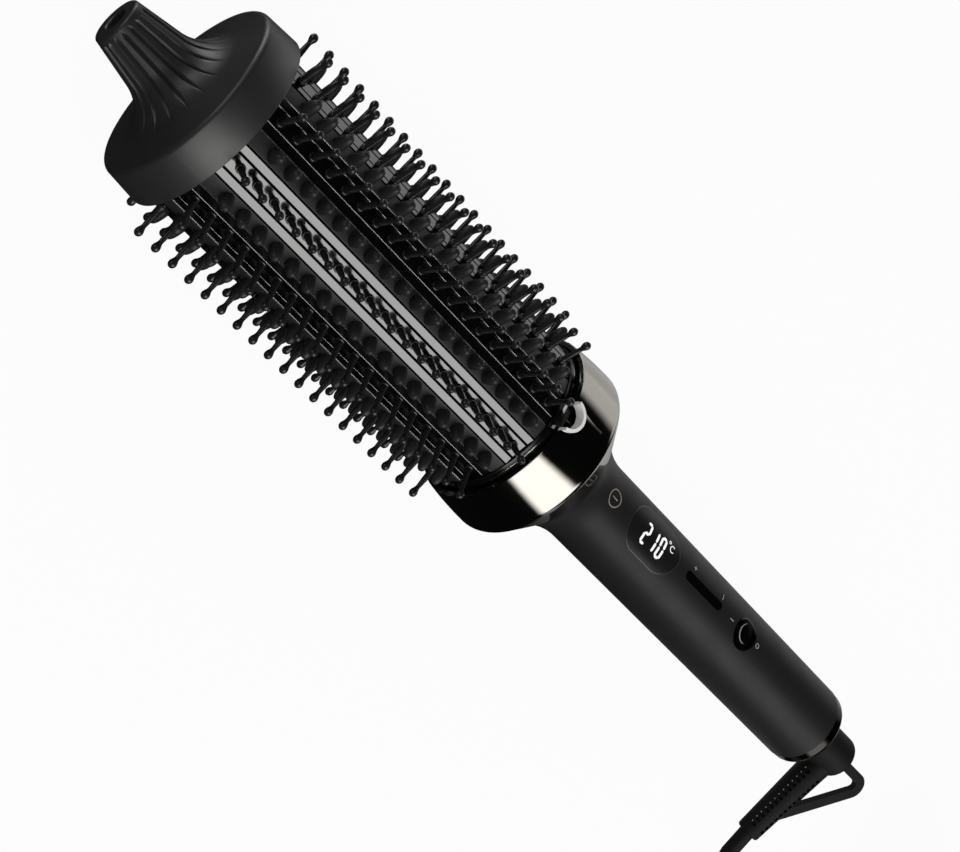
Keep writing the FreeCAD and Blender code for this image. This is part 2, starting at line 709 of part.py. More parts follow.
def make_display_module():
    half_x = DISPLAY_MODULE[0] / 2
    half_y = DISPLAY_MODULE[1] / 2
    return block(display_x - half_x, display_x + half_x, -half_y, half_y, board_top, handle_in_r)


def make_control_board():
    half = BOARD_WIDTH / 2
    return block(board_x0, board_x1, -half, half, BOARD_Z, board_top)


def make_chassis():
    """Half-round tray that holds the control board in the handle."""
    x0 = board_x0 - CHASSIS_MARGIN
    x1 = board_x1 + CHASSIS_MARGIN
    body = [tube(x0, x1, inside_r, inside_r - CHASSIS_WALL)]
    for x in (x0, x1 - CHASSIS_END):
        body.append(rod(x, x + CHASSIS_END, inside_r))
    for share in CHASSIS_RIBS:
        x = board_x0 + share * (board_x1 - board_x0) - CHASSIS_RIB / 2
        body.append(rod(x, x + CHASSIS_RIB, inside_r))
    return joined(body).cut([block(x0, x1, -FAR, FAR, BOARD_Z, FAR), rod(x0, x1, WIRE_BORE_R)])


rocker_top = HANDLE_R + ROCKER_RISE
temperature_z = HANDLE_R - TEMPERATURE_PIVOT
power_z = HANDLE_R - POWER_PIVOT
post_inner = SLOT_WIDTH / 2 - CONTROL_GAP + POST_GAP
post_outer = post_inner + POST_SIZE[1]


def make_temperature_rocker():
    """Long slim rocker on a cross pin, a little raised at both ends."""
    length = SLOT_LENGTH - 2 * CONTROL_GAP
    width = SLOT_WIDTH - 2 * CONTROL_GAP
    key = stadium(slot_x, length, width, temperature_z - ROCKER_FOOT, rocker_top)
    saddle_r = (length / 2) ** 2 / (2 * TEMPERATURE_HOLLOW)
    saddle = cross_pin(slot_x, rocker_top - TEMPERATURE_HOLLOW + saddle_r, saddle_r, width)
    return joined([key.cut(saddle), cross_pin(slot_x, temperature_z, PIVOT_R, post_outer)])


def make_temperature_switches():
    """Two push switches under the rocker's ends and the two posts of its pin."""
    pieces = []
    arm = SLOT_LENGTH / 2 - SWITCH_FROM_END
    travel = (arm + SWITCH_HALF) * math.sin(math.radians(TEMPERATURE_TILT))
    switch_top = temperature_z - ROCKER_FOOT - travel - FIT
    for side in (-1, 1):
        x = slot_x + side * arm
        half = SWITCH_HALF
        pieces.append(block(x - half, x + half, -half, half, board_top, switch_top))
        y0, y1 = sorted((side * post_inner, side * post_outer))
        half = POST_SIZE[0] / 2
        post = block(slot_x - half, slot_x + half, y0, y1, board_top, temperature_z + 2 * PIVOT_R)
        pieces.append(post.cut(cross_pin(slot_x, temperature_z, PIVOT_R + RUNNING_FIT, FAR)))
    return Part.makeCompound(pieces)


def make_power_rocker():
    """Round rocker with a crowned top on a cross pin, at rest on one side."""
    radius = POWER_RECESS_R - POWER_BEZEL_WALL - CONTROL_GAP
    bottom = power_z - POWER_DEPTH
    key = Part.makeCylinder(radius, rocker_top - bottom, Vec(power_x, 0, bottom))
    crown_r = POWER_CROWN * radius
    crown = Part.makeSphere(crown_r, Vec(power_x, 0, rocker_top - crown_r))
    pin = cross_pin(power_x, power_z, PIVOT_R, POWER_RECESS_R - 2 * FIT)
    body = joined([key.common(crown), pin])
    body.rotate(Vec(power_x, 0, power_z), Y_AXIS, POWER_TILT)
    return body


def make_power_switch():
    """Switch frame: the round bezel in the handle and the block below it."""
    body = Part.makeCylinder(POWER_RECESS_R - FIT, HANDLE_R - board_top, Vec(power_x, 0, board_top))
    body = body.common(rod(handle_x, tail_x, HANDLE_R))
    well_floor = power_z - POWER_DEPTH - POWER_WELL
    well = Part.makeCylinder(POWER_RECESS_R - POWER_BEZEL_WALL, FAR, Vec(power_x, 0, well_floor))
    return body.cut([well, cross_pin(power_x, power_z, PIVOT_R + RUNNING_FIT, FAR)])


# ---------------------------------------------------------------- tail and swivel
def make_tail_ring():
    return turned([
        (tail_x, SOCKET_NOSE_R),
        (tail_x, TAIL_RING_R),
        (tail_end_x - TAIL_EDGE, TAIL_RING_R),
        (tail_end_x, TAIL_RING_R - TAIL_EDGE, rounded(tail_end_x, TAIL_RING_R, TAIL_EDGE)),
        (tail_end_x, SOCKET_NOSE_R)])


def make_swivel_socket():
    """Bearing block fixed in the handle's tail."""
    body = joined([rod(socket_x, tail_x, inside_r), rod(tail_x, tail_end_x, SOCKET_NOSE_R)])
    pocket_x = socket_x + 2 * SHAFT_PLAY + SHAFT_FLANGE_LENGTH
    return body.cut([
        rod(socket_x, tail_end_x, SHAFT_R + SHAFT_FIT),
        rod(socket_x, pocket_x, SHAFT_FLANGE_R + SHAFT_POCKET_GAP)])


def make_swivel_shaft():
    """Hollow shaft whose flange keeps the boot on the handle."""
    x0 = socket_x + SHAFT_PLAY
    flange_end = x0 + SHAFT_FLANGE_LENGTH
    end = boot_x + SHAFT_IN_BOOT
    body = joined([rod(x0, flange_end, SHAFT_FLANGE_R), rod(x0, end, SHAFT_R)])
    return body.cut(rod(x0, end, WIRE_BORE_R))


def make_boot():
    """Swivel head, flexible sleeve and hanging loop in one moulding, drawn with the sleeve along +Z."""
    head = turned([
        (boot_x, 0),
        (boot_x, BOOT_R),
        (boot_end_x - BOOT_EDGE, BOOT_R),
        (boot_end_x, BOOT_R - BOOT_EDGE, rounded(boot_end_x, BOOT_R, BOOT_EDGE)),
        (boot_end_x, 0)])
    base = Vec(sleeve_x, 0, 0)
    sleeve = Part.makeCone(SLEEVE_ROOT_R, SLEEVE_END_R, SLEEVE_LENGTH, base)
    end_edges = [edge for edge in sleeve.Edges if edge.BoundBox.ZMin > SLEEVE_LENGTH / 2]
    sleeve = sleeve.makeFillet(SLEEVE_EDGE, end_edges)
    pockets = []
    for k in range(FLEX_COUNT):
        z = FLEX_START + FLEX_PITCH * k
        skin_r = SLEEVE_ROOT_R + (SLEEVE_END_R - SLEEVE_ROOT_R) * z / SLEEVE_LENGTH
        for angle in FLEX_ANGLES:
            height, width = FLEX_SIZE
            pocket_x = sleeve_x + skin_r - FLEX_DEPTH
            pocket = block(pocket_x, sleeve_x + FAR, -width / 2, width / 2, z, z + height)
            pocket.rotate(base, Vec(0, 0, 1), angle)
            pockets.append(pocket)
    # the loop is a flat band: a straight arm from the head, a bend and a slanted arm back to the sleeve
    half = LOOP_BAND / 2
    opening = math.radians(LOOP_SLANT) / 2
    reach = LOOP_BEND_R / math.tan(opening)
    back = Vec(-1, 0, 0)
    slant = Vec(-math.cos(2 * opening), 0, math.sin(2 * opening))
    root = Vec(boot_end_x - BOOT_EDGE, 0, LOOP_ROOT)
    knee = Vec(loop_end_x - half - LOOP_BEND_R + reach, 0, LOOP_ROOT)
    foot = knee + slant * ((knee.x - sleeve_x - SLEEVE_END_R / 2) / math.cos(2 * opening))
    inward = (back + slant).normalize()
    bend_middle = knee + inward * (LOOP_BEND_R / math.sin(opening) - LOOP_BEND_R)
    path = Part.Wire([
        Part.makeLine(root, knee + back * reach),
        Part.Arc(knee + back * reach, bend_middle, knee + slant * reach).toShape(),
        Part.makeLine(knee + slant * reach, foot)])
    corners = [(-1, -1), (1, -1), (1, 1), (-1, 1), (-1, -1)]
    band = Part.makePolygon([root + Vec(0, y * LOOP_THICK / 2, z * half) for y, z in corners])
    body = joined([head, sleeve.cut(pockets), path.makePipeShell([band], True, False)])
    return clocked(body.cut(rod(boot_x, boot_x + SHAFT_IN_BOOT, SHAFT_R)), SLEEVE_CLOCK)


# ---------------------------------------------------------------- cord and plug
sleeve_clock = math.radians(SLEEVE_CLOCK)
hang = Vec(0, -math.sin(sleeve_clock), math.cos(sleeve_clock))
sleeve_root = Vec(sleeve_x, 0, axis_z)
LEAD_ROUTE = [
    sleeve_root + hang * SLEEVE_LENGTH,
    sleeve_root + hang * (SLEEVE_LENGTH + CORD_FREE),
    Vec(180.0, -66.0, CORD_D / 2),
    Vec(245.0, -47.0, CORD_D / 2),
    Vec(COIL_CENTRE[0], -47.0, CORD_D / 2),
]
TAIL_ROUTE = [
    Vec(253.5, -43.4, 8.1),
    Vec(269.1, -52.4, 8.1),
    Vec(291.0, -52.4, 8.1),
]


def cord_tube(name, points):
    """Round tube along straight runs joined by arcs of one radius."""
    edges = []
    here = points[0]
    for before, corner, after in zip(points, points[1:], points[2:]):
        back = (before - corner).normalize()
        ahead = (after - corner).normalize()
        half = back.getAngle(ahead) / 2
        reach = CORD_BEND / math.tan(half)
        middle = corner + (back + ahead).normalize() * (CORD_BEND / math.sin(half) - CORD_BEND)
        edges.append(Part.makeLine(here, corner + back * reach))
        edges.append(Part.Arc(corner + back * reach, middle, corner + ahead * reach).toShape())
        here = corner + ahead * reach
    edges.append(Part.makeLine(here, points[-1]))
    path = Part.Wire(edges)
    circle = Part.Wire(Part.makeCircle(CORD_D / 2, points[0], points[1] - points[0]))
    solid = path.makePipeShell([circle], True, False)
    ideal = math.pi * CORD_D ** 2 / 4 * path.Length
    print(name, "length", round(path.Length, 1), "volume ratio", round(solid.Volume / ideal, 4))
    return solid


coil_half = CORD_D * COIL_RINGS / 2
coil_height = CORD_D * COIL_ROWS


def make_coil():
    base = Vec(COIL_CENTRE[0], COIL_CENTRE[1], 0)
    outer = Part.makeCylinder(COIL_R + coil_half, coil_height, base)
    return outer.cut(Part.makeCylinder(COIL_R - coil_half, coil_height, base))


def make_tie(coil):
    """Strap round one side of the coil."""
    x = COIL_CENTRE[0] + COIL_R
    y0 = COIL_CENTRE[1] - TIE_WIDTH / 2
    reach = coil_half + TIE_THICK
    return block(x - reach, x + reach, y0, y0 + TIE_WIDTH, 0, coil_height + TIE_THICK).cut(coil)


plug_root = TAIL_ROUTE[-1]
plug_x = plug_root.x + PLUG_NECK
plug_end_x = plug_x + PLUG_BODY[0]


def make_plug_body():
    length, width = PLUG_BODY
    neck = Part.makeCone(*PLUG_NECK_R, PLUG_NECK, plug_root, X_AXIS)
    waist = PLUG_WAIST * width / 2
    wide_x = plug_x + PLUG_SHOULDER * length
    corners = [(plug_x, -waist), (wide_x, -width / 2), (plug_end_x, -width / 2), (plug_end_x, width / 2),
               (wide_x, width / 2), (plug_x, waist), (plug_x, -waist)]
    outline = Part.Face(Part.makePolygon([Vec(x, plug_root.y + y, 0) for x, y in corners]))
    return joined([outline.extrude(Vec(0, 0, 2 * plug_root.z)), neck])


def make_plug_pins():
    pins = []
    for side in (-1, 1):
        y = plug_root.y + side * PLUG_PIN_SPACING / 2
        pins.append(rod(plug_end_x, plug_end_x + PLUG_PIN_LENGTH, PLUG_PIN_R, y, plug_root.z))
    return Part.makeCompound(pins)


# ---------------------------------------------------------------- write every sub-part
save("tip_cap", make_tip_cap())
save("tip_insulator", make_tip_insulator())
save("tip_screw", make_tip_screw())
save("head_carrier", make_carrier())
plate = make_plate()
pin_strip = make_pin_strip()
channel = make_channel_strip()
fin_strip = make_fin_strip()
mirrored = fin_strip.mirror(ORIGIN, Y_AXIS)
for i in range(SECTORS):
    turn = SECTOR_STEP * i
    number = str(i + 1)
    save("channel_strip_" + number, clocked(channel, turn))
    save("fin_strip_" + number + "_left", clocked(mirrored, turn))
    save("fin_strip_" + number + "_right", clocked(fin_strip, turn))
    save("heat_plate_" + number, clocked(plate, turn + SECTOR_STEP / 2))
    save("pin_strip_" + number, clocked(pin_strip, turn + SECTOR_STEP / 2))
spreader = make_spreader()
save("heat_spreader_upper", spreader)
save("heat_spreader_lower", clocked(spreader, 180))
save("ptc_heater", make_heater())
save("thermal_fuse", make_thermal_fuse())
save("thermistor", make_thermistor())
save("mains_wires", make_wires())
save("head_flange", make_flange())
save("flange_ring", make_flange_ring())
save("collar", make_collar())
save("ion_outlet", make_ion_outlet())
save("ion_emitter", make_ion_emitter())
save("ion_module", make_ion_module())
save("handle_sleeve", make_handle())
save("handle_chassis", make_chassis())
save("display_window", make_display_window())
save("display_module", make_display_module())
save("control_board", make_control_board())
save("temperature_rocker", make_temperature_rocker())
save("temperature_switches", make_temperature_switches())
save("power_rocker", make_power_rocker())
save("power_switch", make_power_switch())
save("tail_ring", make_tail_ring())
save("swivel_socket", make_swivel_socket())
save("swivel_shaft", make_swivel_shaft())
save("cord_boot", make_boot())
coil = make_coil()
save("cord_lead", cord_tube("cord_lead", LEAD_ROUTE).cut(coil), 0)
save("cord_coil", coil, 0)
save("cord_tail", cord_tube("cord_tail", TAIL_ROUTE).cut(coil), 0)
save("cord_tie", make_tie(coil), 0)
save("plug_body", make_plug_body(), 0)
save("plug_pins", make_plug_pins(), 0)
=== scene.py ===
import math

import bpy
from mathutils import Matrix, Vector
from mathutils.bvhtree import BVHTree


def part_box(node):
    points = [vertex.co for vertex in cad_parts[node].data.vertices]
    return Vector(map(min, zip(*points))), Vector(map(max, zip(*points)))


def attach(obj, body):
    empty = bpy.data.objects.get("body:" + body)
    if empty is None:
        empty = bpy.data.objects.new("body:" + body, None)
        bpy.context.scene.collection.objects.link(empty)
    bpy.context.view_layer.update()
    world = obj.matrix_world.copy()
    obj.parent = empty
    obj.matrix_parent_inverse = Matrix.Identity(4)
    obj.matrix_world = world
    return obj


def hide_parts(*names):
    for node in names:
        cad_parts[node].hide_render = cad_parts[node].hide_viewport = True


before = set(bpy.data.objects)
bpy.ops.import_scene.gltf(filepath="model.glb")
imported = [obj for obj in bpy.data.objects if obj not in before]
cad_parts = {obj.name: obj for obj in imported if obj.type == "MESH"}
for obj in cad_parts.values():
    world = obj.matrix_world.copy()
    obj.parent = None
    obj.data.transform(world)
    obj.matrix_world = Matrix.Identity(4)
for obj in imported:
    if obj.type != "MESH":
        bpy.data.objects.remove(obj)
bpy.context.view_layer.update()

MM = 0.001                # sizes are in mm and angles in degrees, unless a comment says otherwise
BODY = "brush"

# ---------------------------------------------------------------- places taken from the frame
plate_low, plate_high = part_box("heat_plate_1")
handle_low, handle_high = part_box("handle_sleeve")
cap_low, cap_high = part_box("tip_cap")
collar_low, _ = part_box("collar")
window_low, window_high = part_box("display_window")
slot_low, slot_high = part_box("temperature_rocker")
power_low, power_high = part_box("power_switch")

# stations along the brush and the height of its axis
HEAD_X0 = plate_low.x / MM
HEAD_X1 = plate_high.x / MM
NOSE_X = cap_low.x / MM
CAP_END_X = cap_high.x / MM
COLLAR_X = collar_low.x / MM
HANDLE_X = handle_low.x / MM
AXIS_Z = (handle_low.z + handle_high.z) / 2 / MM
DISPLAY_X = (window_low.x + window_high.x) / 2 / MM
SLOT_X = (slot_low.x + slot_high.x) / 2 / MM
POWER_X = (power_low.x + power_high.x) / 2 / MM

# ---------------------------------------------------------------- camera
CAMERA_AT = Vector((-0.29945, -0.2152, 0.4408))  # m
CAMERA_RIGHT = Vector((0.605, 0.4679, 0.6443))
CAMERA_AHEAD = Vector((0.51076, 0.39169, -0.76578))
LENS = 71.43
SENSOR = 36.0
CLIP = (0.01, 20.0)       # m

ahead = CAMERA_AHEAD.normalized()
right = (CAMERA_RIGHT - ahead * CAMERA_RIGHT.dot(ahead)).normalized()
up = right.cross(ahead)
camera_data = bpy.data.cameras.new("camera")
camera_data.lens = LENS
camera_data.sensor_width = SENSOR
camera_data.clip_start, camera_data.clip_end = CLIP
camera = bpy.data.objects.new("camera", camera_data)
camera.matrix_world = Matrix.Translation(CAMERA_AT) @ Matrix((right, up, -ahead)).transposed().to_4x4()
bpy.context.scene.collection.objects.link(camera)
bpy.context.scene.camera = camera
bpy.context.scene.view_settings.view_transform = "Standard"


# ---------------------------------------------------------------- materials
FINE_DETAIL = 4.0
SLOW_DETAIL = 3.0
SLOW_SIZE = 9.0           # of the patches in which the gloss varies
SLOW_SPAN = (0.3, 0.7)    # the noise that stands for the least and the most rough patch
WHITE = (1.0, 1.0, 1.0)


def surface(name, colour, roughness, metallic=0.0, specular=0.5, grain=0.6, depth=0.01, uneven=0.05):
    """Procedural finish: a fine grain in the relief, and slow unevenness in the gloss."""
    material = bpy.data.materials.new(name)
    material.use_nodes = True
    nodes = material.node_tree.nodes
    links = material.node_tree.links
    shader = nodes["Principled BSDF"]
    shader.inputs["Base Color"].default_value = (*colour, 1.0)
    shader.inputs["Metallic"].default_value = metallic
    shader.inputs["Specular IOR Level"].default_value = specular
    place = nodes.new("ShaderNodeTexCoord")
    fine = nodes.new("ShaderNodeTexNoise")
    fine.inputs["Scale"].default_value = 1 / (grain * MM)
    fine.inputs["Detail"].default_value = FINE_DETAIL
    slow = nodes.new("ShaderNodeTexNoise")
    slow.inputs["Scale"].default_value = 1 / (SLOW_SIZE * MM)
    slow.inputs["Detail"].default_value = SLOW_DETAIL
    relief = nodes.new("ShaderNodeBump")
    relief.inputs["Strength"].default_value = 1.0
    relief.inputs["Distance"].default_value = depth * MM
    gloss = nodes.new("ShaderNodeMapRange")
    gloss.inputs["From Min"].default_value, gloss.inputs["From Max"].default_value = SLOW_SPAN
    gloss.inputs["To Min"].default_value = max(0.0, roughness - uneven)
    gloss.inputs["To Max"].default_value = roughness + uneven
    links.new(place.outputs["Object"], fine.inputs["Vector"])
    links.new(place.outputs["Object"], slow.inputs["Vector"])
    links.new(fine.outputs["Fac"], relief.inputs["Height"])
    links.new(slow.outputs["Fac"], gloss.inputs["Value"])
    links.new(relief.outputs["Normal"], shader.inputs["Normal"])
    links.new(gloss.outputs["Result"], shader.inputs["Roughness"])
    return material


SEGMENT_OFF = (0.02, 0.02, 0.02)
SEGMENT_ROUGHNESS = 0.4


def glowing(name, colour, strength):
    """Lit segments behind dark glass."""
    material = surface(name, SEGMENT_OFF, SEGMENT_ROUGHNESS)
    shader = material.node_tree.nodes["Principled BSDF"]
    shader.inputs["Emission Color"].default_value = (*colour, 1.0)
    shader.inputs["Emission Strength"].default_value = strength
    return material


# plastics and rubber
SOFT_TOUCH = surface("soft_touch", (0.014, 0.014, 0.0145), 0.46, specular=0.22,
                     grain=0.25, depth=0.004, uneven=0.03)
CAP_PLASTIC = surface("cap_plastic", (0.02, 0.02, 0.0205), 0.42, specular=0.9,
                      grain=0.3, depth=0.004, uneven=0.03)
PIN_PLASTIC = surface("pin_plastic", (0.016, 0.016, 0.017), 0.24, specular=0.6, grain=0.4, depth=0.002)
STRIP_PLASTIC = surface("strip_plastic", (0.022, 0.022, 0.023), 0.4, specular=0.4, grain=0.3, depth=0.004)
CHANNEL_PLASTIC = surface("channel_plastic", (0.002, 0.002, 0.002), 0.25, grain=0.4, depth=0.002)
FLANGE_PLASTIC = surface("flange_plastic", (0.003, 0.003, 0.003), 0.2, grain=0.4, depth=0.002)
RIM_PLASTIC = surface("rim_plastic", (0.036, 0.035, 0.034), 0.25, grain=0.4, depth=0.002)
# painted highlight: a near-white matt finish that stands in for the bright reflections on the collar's front
# edge and on the ion outlet's polished rim
PAINTED_HIGHLIGHT = surface("painted_highlight", (0.95, 0.945, 0.93), 0.4, grain=0.5, depth=0.001)
INNER_PLASTIC = surface("inner_plastic", (0.03, 0.03, 0.03), 0.5)
# painted shade: matt black without gloss for the bars that fill the plates' grooves
GROOVE_SHADE = surface("groove_painted_shade", (0.001, 0.001, 0.001), 0.7, specular=0.0, grain=0.4, depth=0.002)
GLOSS_BLACK = surface("gloss_black", (0.002, 0.002, 0.0025), 0.08, specular=0.3,
                      grain=0.8, depth=0.0004, uneven=0.02)
ROCKER_BLACK = surface("rocker_black", (0.001, 0.001, 0.001), 0.35, specular=0.06, grain=0.8, depth=0.0004)
DISPLAY_GLASS = surface("display_glass", (0.01, 0.01, 0.0105), 0.32, specular=0.22, grain=0.8, depth=0.0006)
RUBBER = surface("rubber", (0.0085, 0.0085, 0.0085), 0.6, specular=0.15, grain=0.35, depth=0.008)

# metals
PLATE_METAL = surface("plate_metal", (0.14, 0.14, 0.142), 0.1, 1.0, grain=0.35, depth=0.0006, uneven=0.03)
COLLAR_METAL = surface("collar_metal", (0.4, 0.378, 0.352), 0.07, 1.0, grain=0.9, depth=0.0004, uneven=0.02)
BRIGHT_METAL = surface("bright_metal", (0.8, 0.78, 0.75), 0.12, 1.0, grain=0.5, depth=0.0008, uneven=0.03)
TAIL_METAL = surface("tail_metal", (0.035, 0.033, 0.03), 0.16, 1.0, grain=0.5, depth=0.0008, uneven=0.03)
SEAM_METAL = surface("seam_metal", (0.36, 0.36, 0.36), 0.2, 1.0, grain=0.6, depth=0.001)
STEEL = surface("steel", (0.4, 0.4, 0.4), 0.28, 1.0, grain=0.3, depth=0.003)
COPPER = surface("copper", (0.6, 0.25, 0.12), 0.3, 1.0)
ALUMINIUM = surface("aluminium", (0.6, 0.6, 0.62), 0.35, 1.0)

# marks, glints and electronics
# painted glint: pale matt grey that stands in for highlights along the power rocker's edge and in the pockets
# of the sleeve
PAINTED_GLINT = surface("painted_glint", (0.3, 0.3, 0.3), 0.3, grain=0.4, depth=0.001)
MARK_INK = surface("mark_ink", (0.34, 0.29, 0.245), 0.5, grain=0.2, depth=0.002)
PALE_INK = surface("pale_ink", (0.5, 0.49, 0.47), 0.5, grain=0.2, depth=0.002)
DIGIT_LIGHT = glowing("digit_light", WHITE, 1.0)
ELECTRONICS = surface("electronics", (0.02, 0.09, 0.04), 0.4)


# ---------------------------------------------------------------- shape helpers
def at(x, r, angle):
    """Point in metres at a station, radius (mm) and clock angle (degrees from +Z towards -Y)."""
    a = math.radians(angle)
    return Vector((x * MM, -r * math.sin(a) * MM, (AXIS_Z + r * math.cos(a)) * MM))


def piece(name, points, faces, material, body=BODY, sharp=35.0, thick=0.0):
    """One mesh piece that rides on a body; a sheet is made a thin solid, thick mm through."""
    mesh = bpy.data.meshes.new(name)
    mesh.from_pydata([tuple(p) for p in points], [], faces)
    mesh.validate()
    mesh.shade_smooth()
    mesh.set_sharp_from_angle(angle=math.radians(sharp))
    mesh.materials.append(material)
    thing = bpy.data.objects.new(name, mesh)
    bpy.context.scene.collection.objects.link(thing)
    if thick:
        solid = thing.modifiers.new("thick", "SOLIDIFY")
        solid.thickness = thick * MM
        solid.offset = 0.0
    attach(thing, body)
    return thing


def swell(share, blunt):
    """Half wave along a thin mark, whose ends are cut off where it is still a little wide."""
    return math.sin(math.pi * (blunt + (1 - 2 * blunt) * share))


def ring_faces(first, count, rings):
    """Quads between closed rings of points that follow one another."""
    faces = []
    for j in range(rings - 1):
        low = first + j * count
        for k in range(count):
            n = (k + 1) % count
            faces.append((low + k, low + n, low + count + n, low + count + k))
    return faces


# ---------------------------------------------------------------- cool tip
FLUTES = 20
NOSE_R = 7.0
NOSE_ROOT_R = 9.3
NOSE_CONE = 13.4          # length of the nose up to the flare
NOSE_EDGE = 0.9
FLARE_R = 11.6
FLARE_END = 80.0          # slope at which the flare runs into the face
FRONT_R = 27.6
REAR_R = 28.3
FRONT_EDGE = 1.5
RECESS_R = 3.1
RECESS_DEPTH = 4.0
RECESS_BEVEL = 0.3
REAR_BEVEL = 0.5
REAR_ROUND = 0.15
HOLLOW_R = 25.4           # the cap is open behind its face
HOLLOW_BEVEL = 0.2
CAP_WALL = 2.2
NOSE_STEPS = 5
CONE_STEPS = 26           # for the cone of the nose and again for the flare
FACE_STEPS = 6
FLUTE_START = 1.2         # behind the end of the nose
FLUTE_ROUND = 1.3         # length over which it reaches its depth
FLUTE_TAPER_R = 11.5      # where a flute starts to narrow
FLUTE_END_R = 18.5        # where it has run out
FLUTE_HALF = 0.58
FLUTE_DEPTH = 0.75
FLUTE_SECTION = [(0.0, 1.0), (0.45, 0.62), (0.88, 0.12), (1.12, 0.0)]  # shares of half width and depth
FLUTE_LEAST = 0.12        # share of the width that is left where there is no flute
FLUTE_LEAST_R = 2.0       # nearer to the axis the flutes' lines close in on it
LAND = [0.33, 0.67, 1.0]  # points from a flute's edge to half way to the next flute


def cap_profile():
    """Section of the cool tip as (x, r, flute share) from the screw recess round to the inside of the rim."""
    points = [(NOSE_X + RECESS_DEPTH, 0.0, 0.0), (NOSE_X + RECESS_DEPTH, RECESS_R, 0.0)]
    points += [(NOSE_X + RECESS_BEVEL, RECESS_R, 0.0), (NOSE_X, RECESS_R + RECESS_BEVEL, 0.0)]
    points += [(NOSE_X, NOSE_R - NOSE_EDGE, 0.0)]
    for k in range(1, NOSE_STEPS + 1):
        t = math.radians(90 * k / NOSE_STEPS)
        points.append((NOSE_X + NOSE_EDGE * (1 - math.cos(t)), NOSE_R - NOSE_EDGE * (1 - math.sin(t)), 0.0))
    cone = math.atan2(NOSE_ROOT_R - NOSE_R, NOSE_CONE - NOSE_EDGE)
    for k in range(1, CONE_STEPS + 1):
        share = k / CONE_STEPS
        run = NOSE_EDGE + share * (NOSE_CONE - NOSE_EDGE)
        t = min(1.0, max(0.0, (run - FLUTE_START) / FLUTE_ROUND))
        points.append((NOSE_X + run, NOSE_R + share * (NOSE_ROOT_R - NOSE_R), t * t * (3 - 2 * t)))
    centre_x = NOSE_X + NOSE_CONE - FLARE_R * math.sin(cone)
    centre_r = NOSE_ROOT_R + FLARE_R * math.cos(cone)
    for k in range(1, CONE_STEPS + 1):
        t = cone + (math.radians(FLARE_END) - cone) * k / CONE_STEPS
        r = centre_r - FLARE_R * math.cos(t)
        share = max(0.0, min(1.0, (FLUTE_END_R - r) / (FLUTE_END_R - FLUTE_TAPER_R)))
        points.append((centre_x + FLARE_R * math.sin(t), r, share))
    end_x, end_r, _ = points[-1]
    face_r = FRONT_R - FRONT_EDGE
    face_x = end_x + (face_r - end_r) / math.tan(math.radians(FLARE_END))
    points.append(((end_x + face_x) / 2, (end_r + face_r) / 2, 0.0))
    for k in range(FACE_STEPS + 1):
        t = math.radians(90 * k / FACE_STEPS)
        points.append((face_x + FRONT_EDGE * (1 - math.cos(t)), face_r + FRONT_EDGE * math.sin(t), 0.0))
    points += [(CAP_END_X - REAR_BEVEL, REAR_R, 0.0), (CAP_END_X - REAR_ROUND, REAR_R - REAR_ROUND, 0.0)]
    points += [(CAP_END_X, REAR_R - REAR_BEVEL, 0.0), (CAP_END_X, HOLLOW_R + HOLLOW_BEVEL, 0.0)]
    points += [(CAP_END_X - HOLLOW_BEVEL, HOLLOW_R, 0.0), (face_x + CAP_WALL, HOLLOW_R, 0.0)]
    return points


def make_cool_tip():
    """Mushroom tip cut by flutes, which grow shallow on the flare sooner than they grow narrow.

    The vertices follow each flute's edges and its floor.
    """
    profile = cap_profile()
    pitch = 360.0 / FLUTES
    points = []
    for j, (x, r, flute) in enumerate(profile):
        before = profile[max(j - 1, 0)]
        after = profile[min(j + 1, len(profile) - 1)]
        run = Vector((after[0] - before[0], after[1] - before[1])).normalized()
        half = math.degrees(FLUTE_HALF * max(flute, FLUTE_LEAST) / max(r, FLUTE_LEAST_R))
        groove = [(share * half, sink * FLUTE_DEPTH * flute * flute) for share, sink in FLUTE_SECTION]
        edge = groove[-1][0]
        side = groove + [(edge + (pitch / 2 - edge) * share, 0.0) for share in LAND]
        for k in range(FLUTES):
            ring = [(-a, sink) for a, sink in reversed(side[1:-1])] + side
            for angle, sink in ring:
                points.append(at(x + run.y * sink, r - run.x * sink, pitch * k + angle))
    count = len(points) // len(profile)
    faces = ring_faces(0, count, len(profile))
    tip = piece("cool_tip", points, faces, CAP_PLASTIC, sharp=30.0)
    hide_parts("tip_cap")


# ---------------------------------------------------------------- barrel
SECTORS = 5
STEP = 360.0 / SECTORS
HEAD_R = 25.0
CARRIER_R = 22.6
SEAM = 0.1                # degrees on each side of a seam
PLATE_EDGE = 12.3         # degrees from the middle of a plate to the seam beside it
PLATE_GAP = 7 * SEAM      # degrees between that seam and the flat plate
PLATE_HALF = PLATE_EDGE - PLATE_GAP
PLATE_TOP = 24.6          # the plates are flat on top
GROOVE_AT = 2.6           # mm from the middle of a plate
GROOVE_HALF = 0.36
GROOVE_FLOOR = 22.8
SHADE_FILL_TOP = 24.45         # painted shade: black bars in the grooves lie a little below the tops of the plates
SHADE_FILL_SIDE = 0.01         # gap beside such a bar
SHADE_FILL_UNDER = 0.05        # gap under it
BEAD = 0.15               # fine bright lines along the channels
BEAD_STEPS = 6
CHANNEL_EDGE = 12.6       # degrees from the middle of a channel to the seam beside it
CHANNEL_HALF = CHANNEL_EDGE - SEAM
CHANNEL_R = 24.7
RECESS_HALF = 6.0         # degrees
CHANNEL_FLOOR_R = 23.6
FIN_FIRST = CHANNEL_EDGE + SEAM
FIN_LAST = STEP / 2 - PLATE_EDGE - SEAM
ROUND = 0.2               # small rounds along the strips that catch the light
ROUND_TURNS = (0, 30, 60, 90)
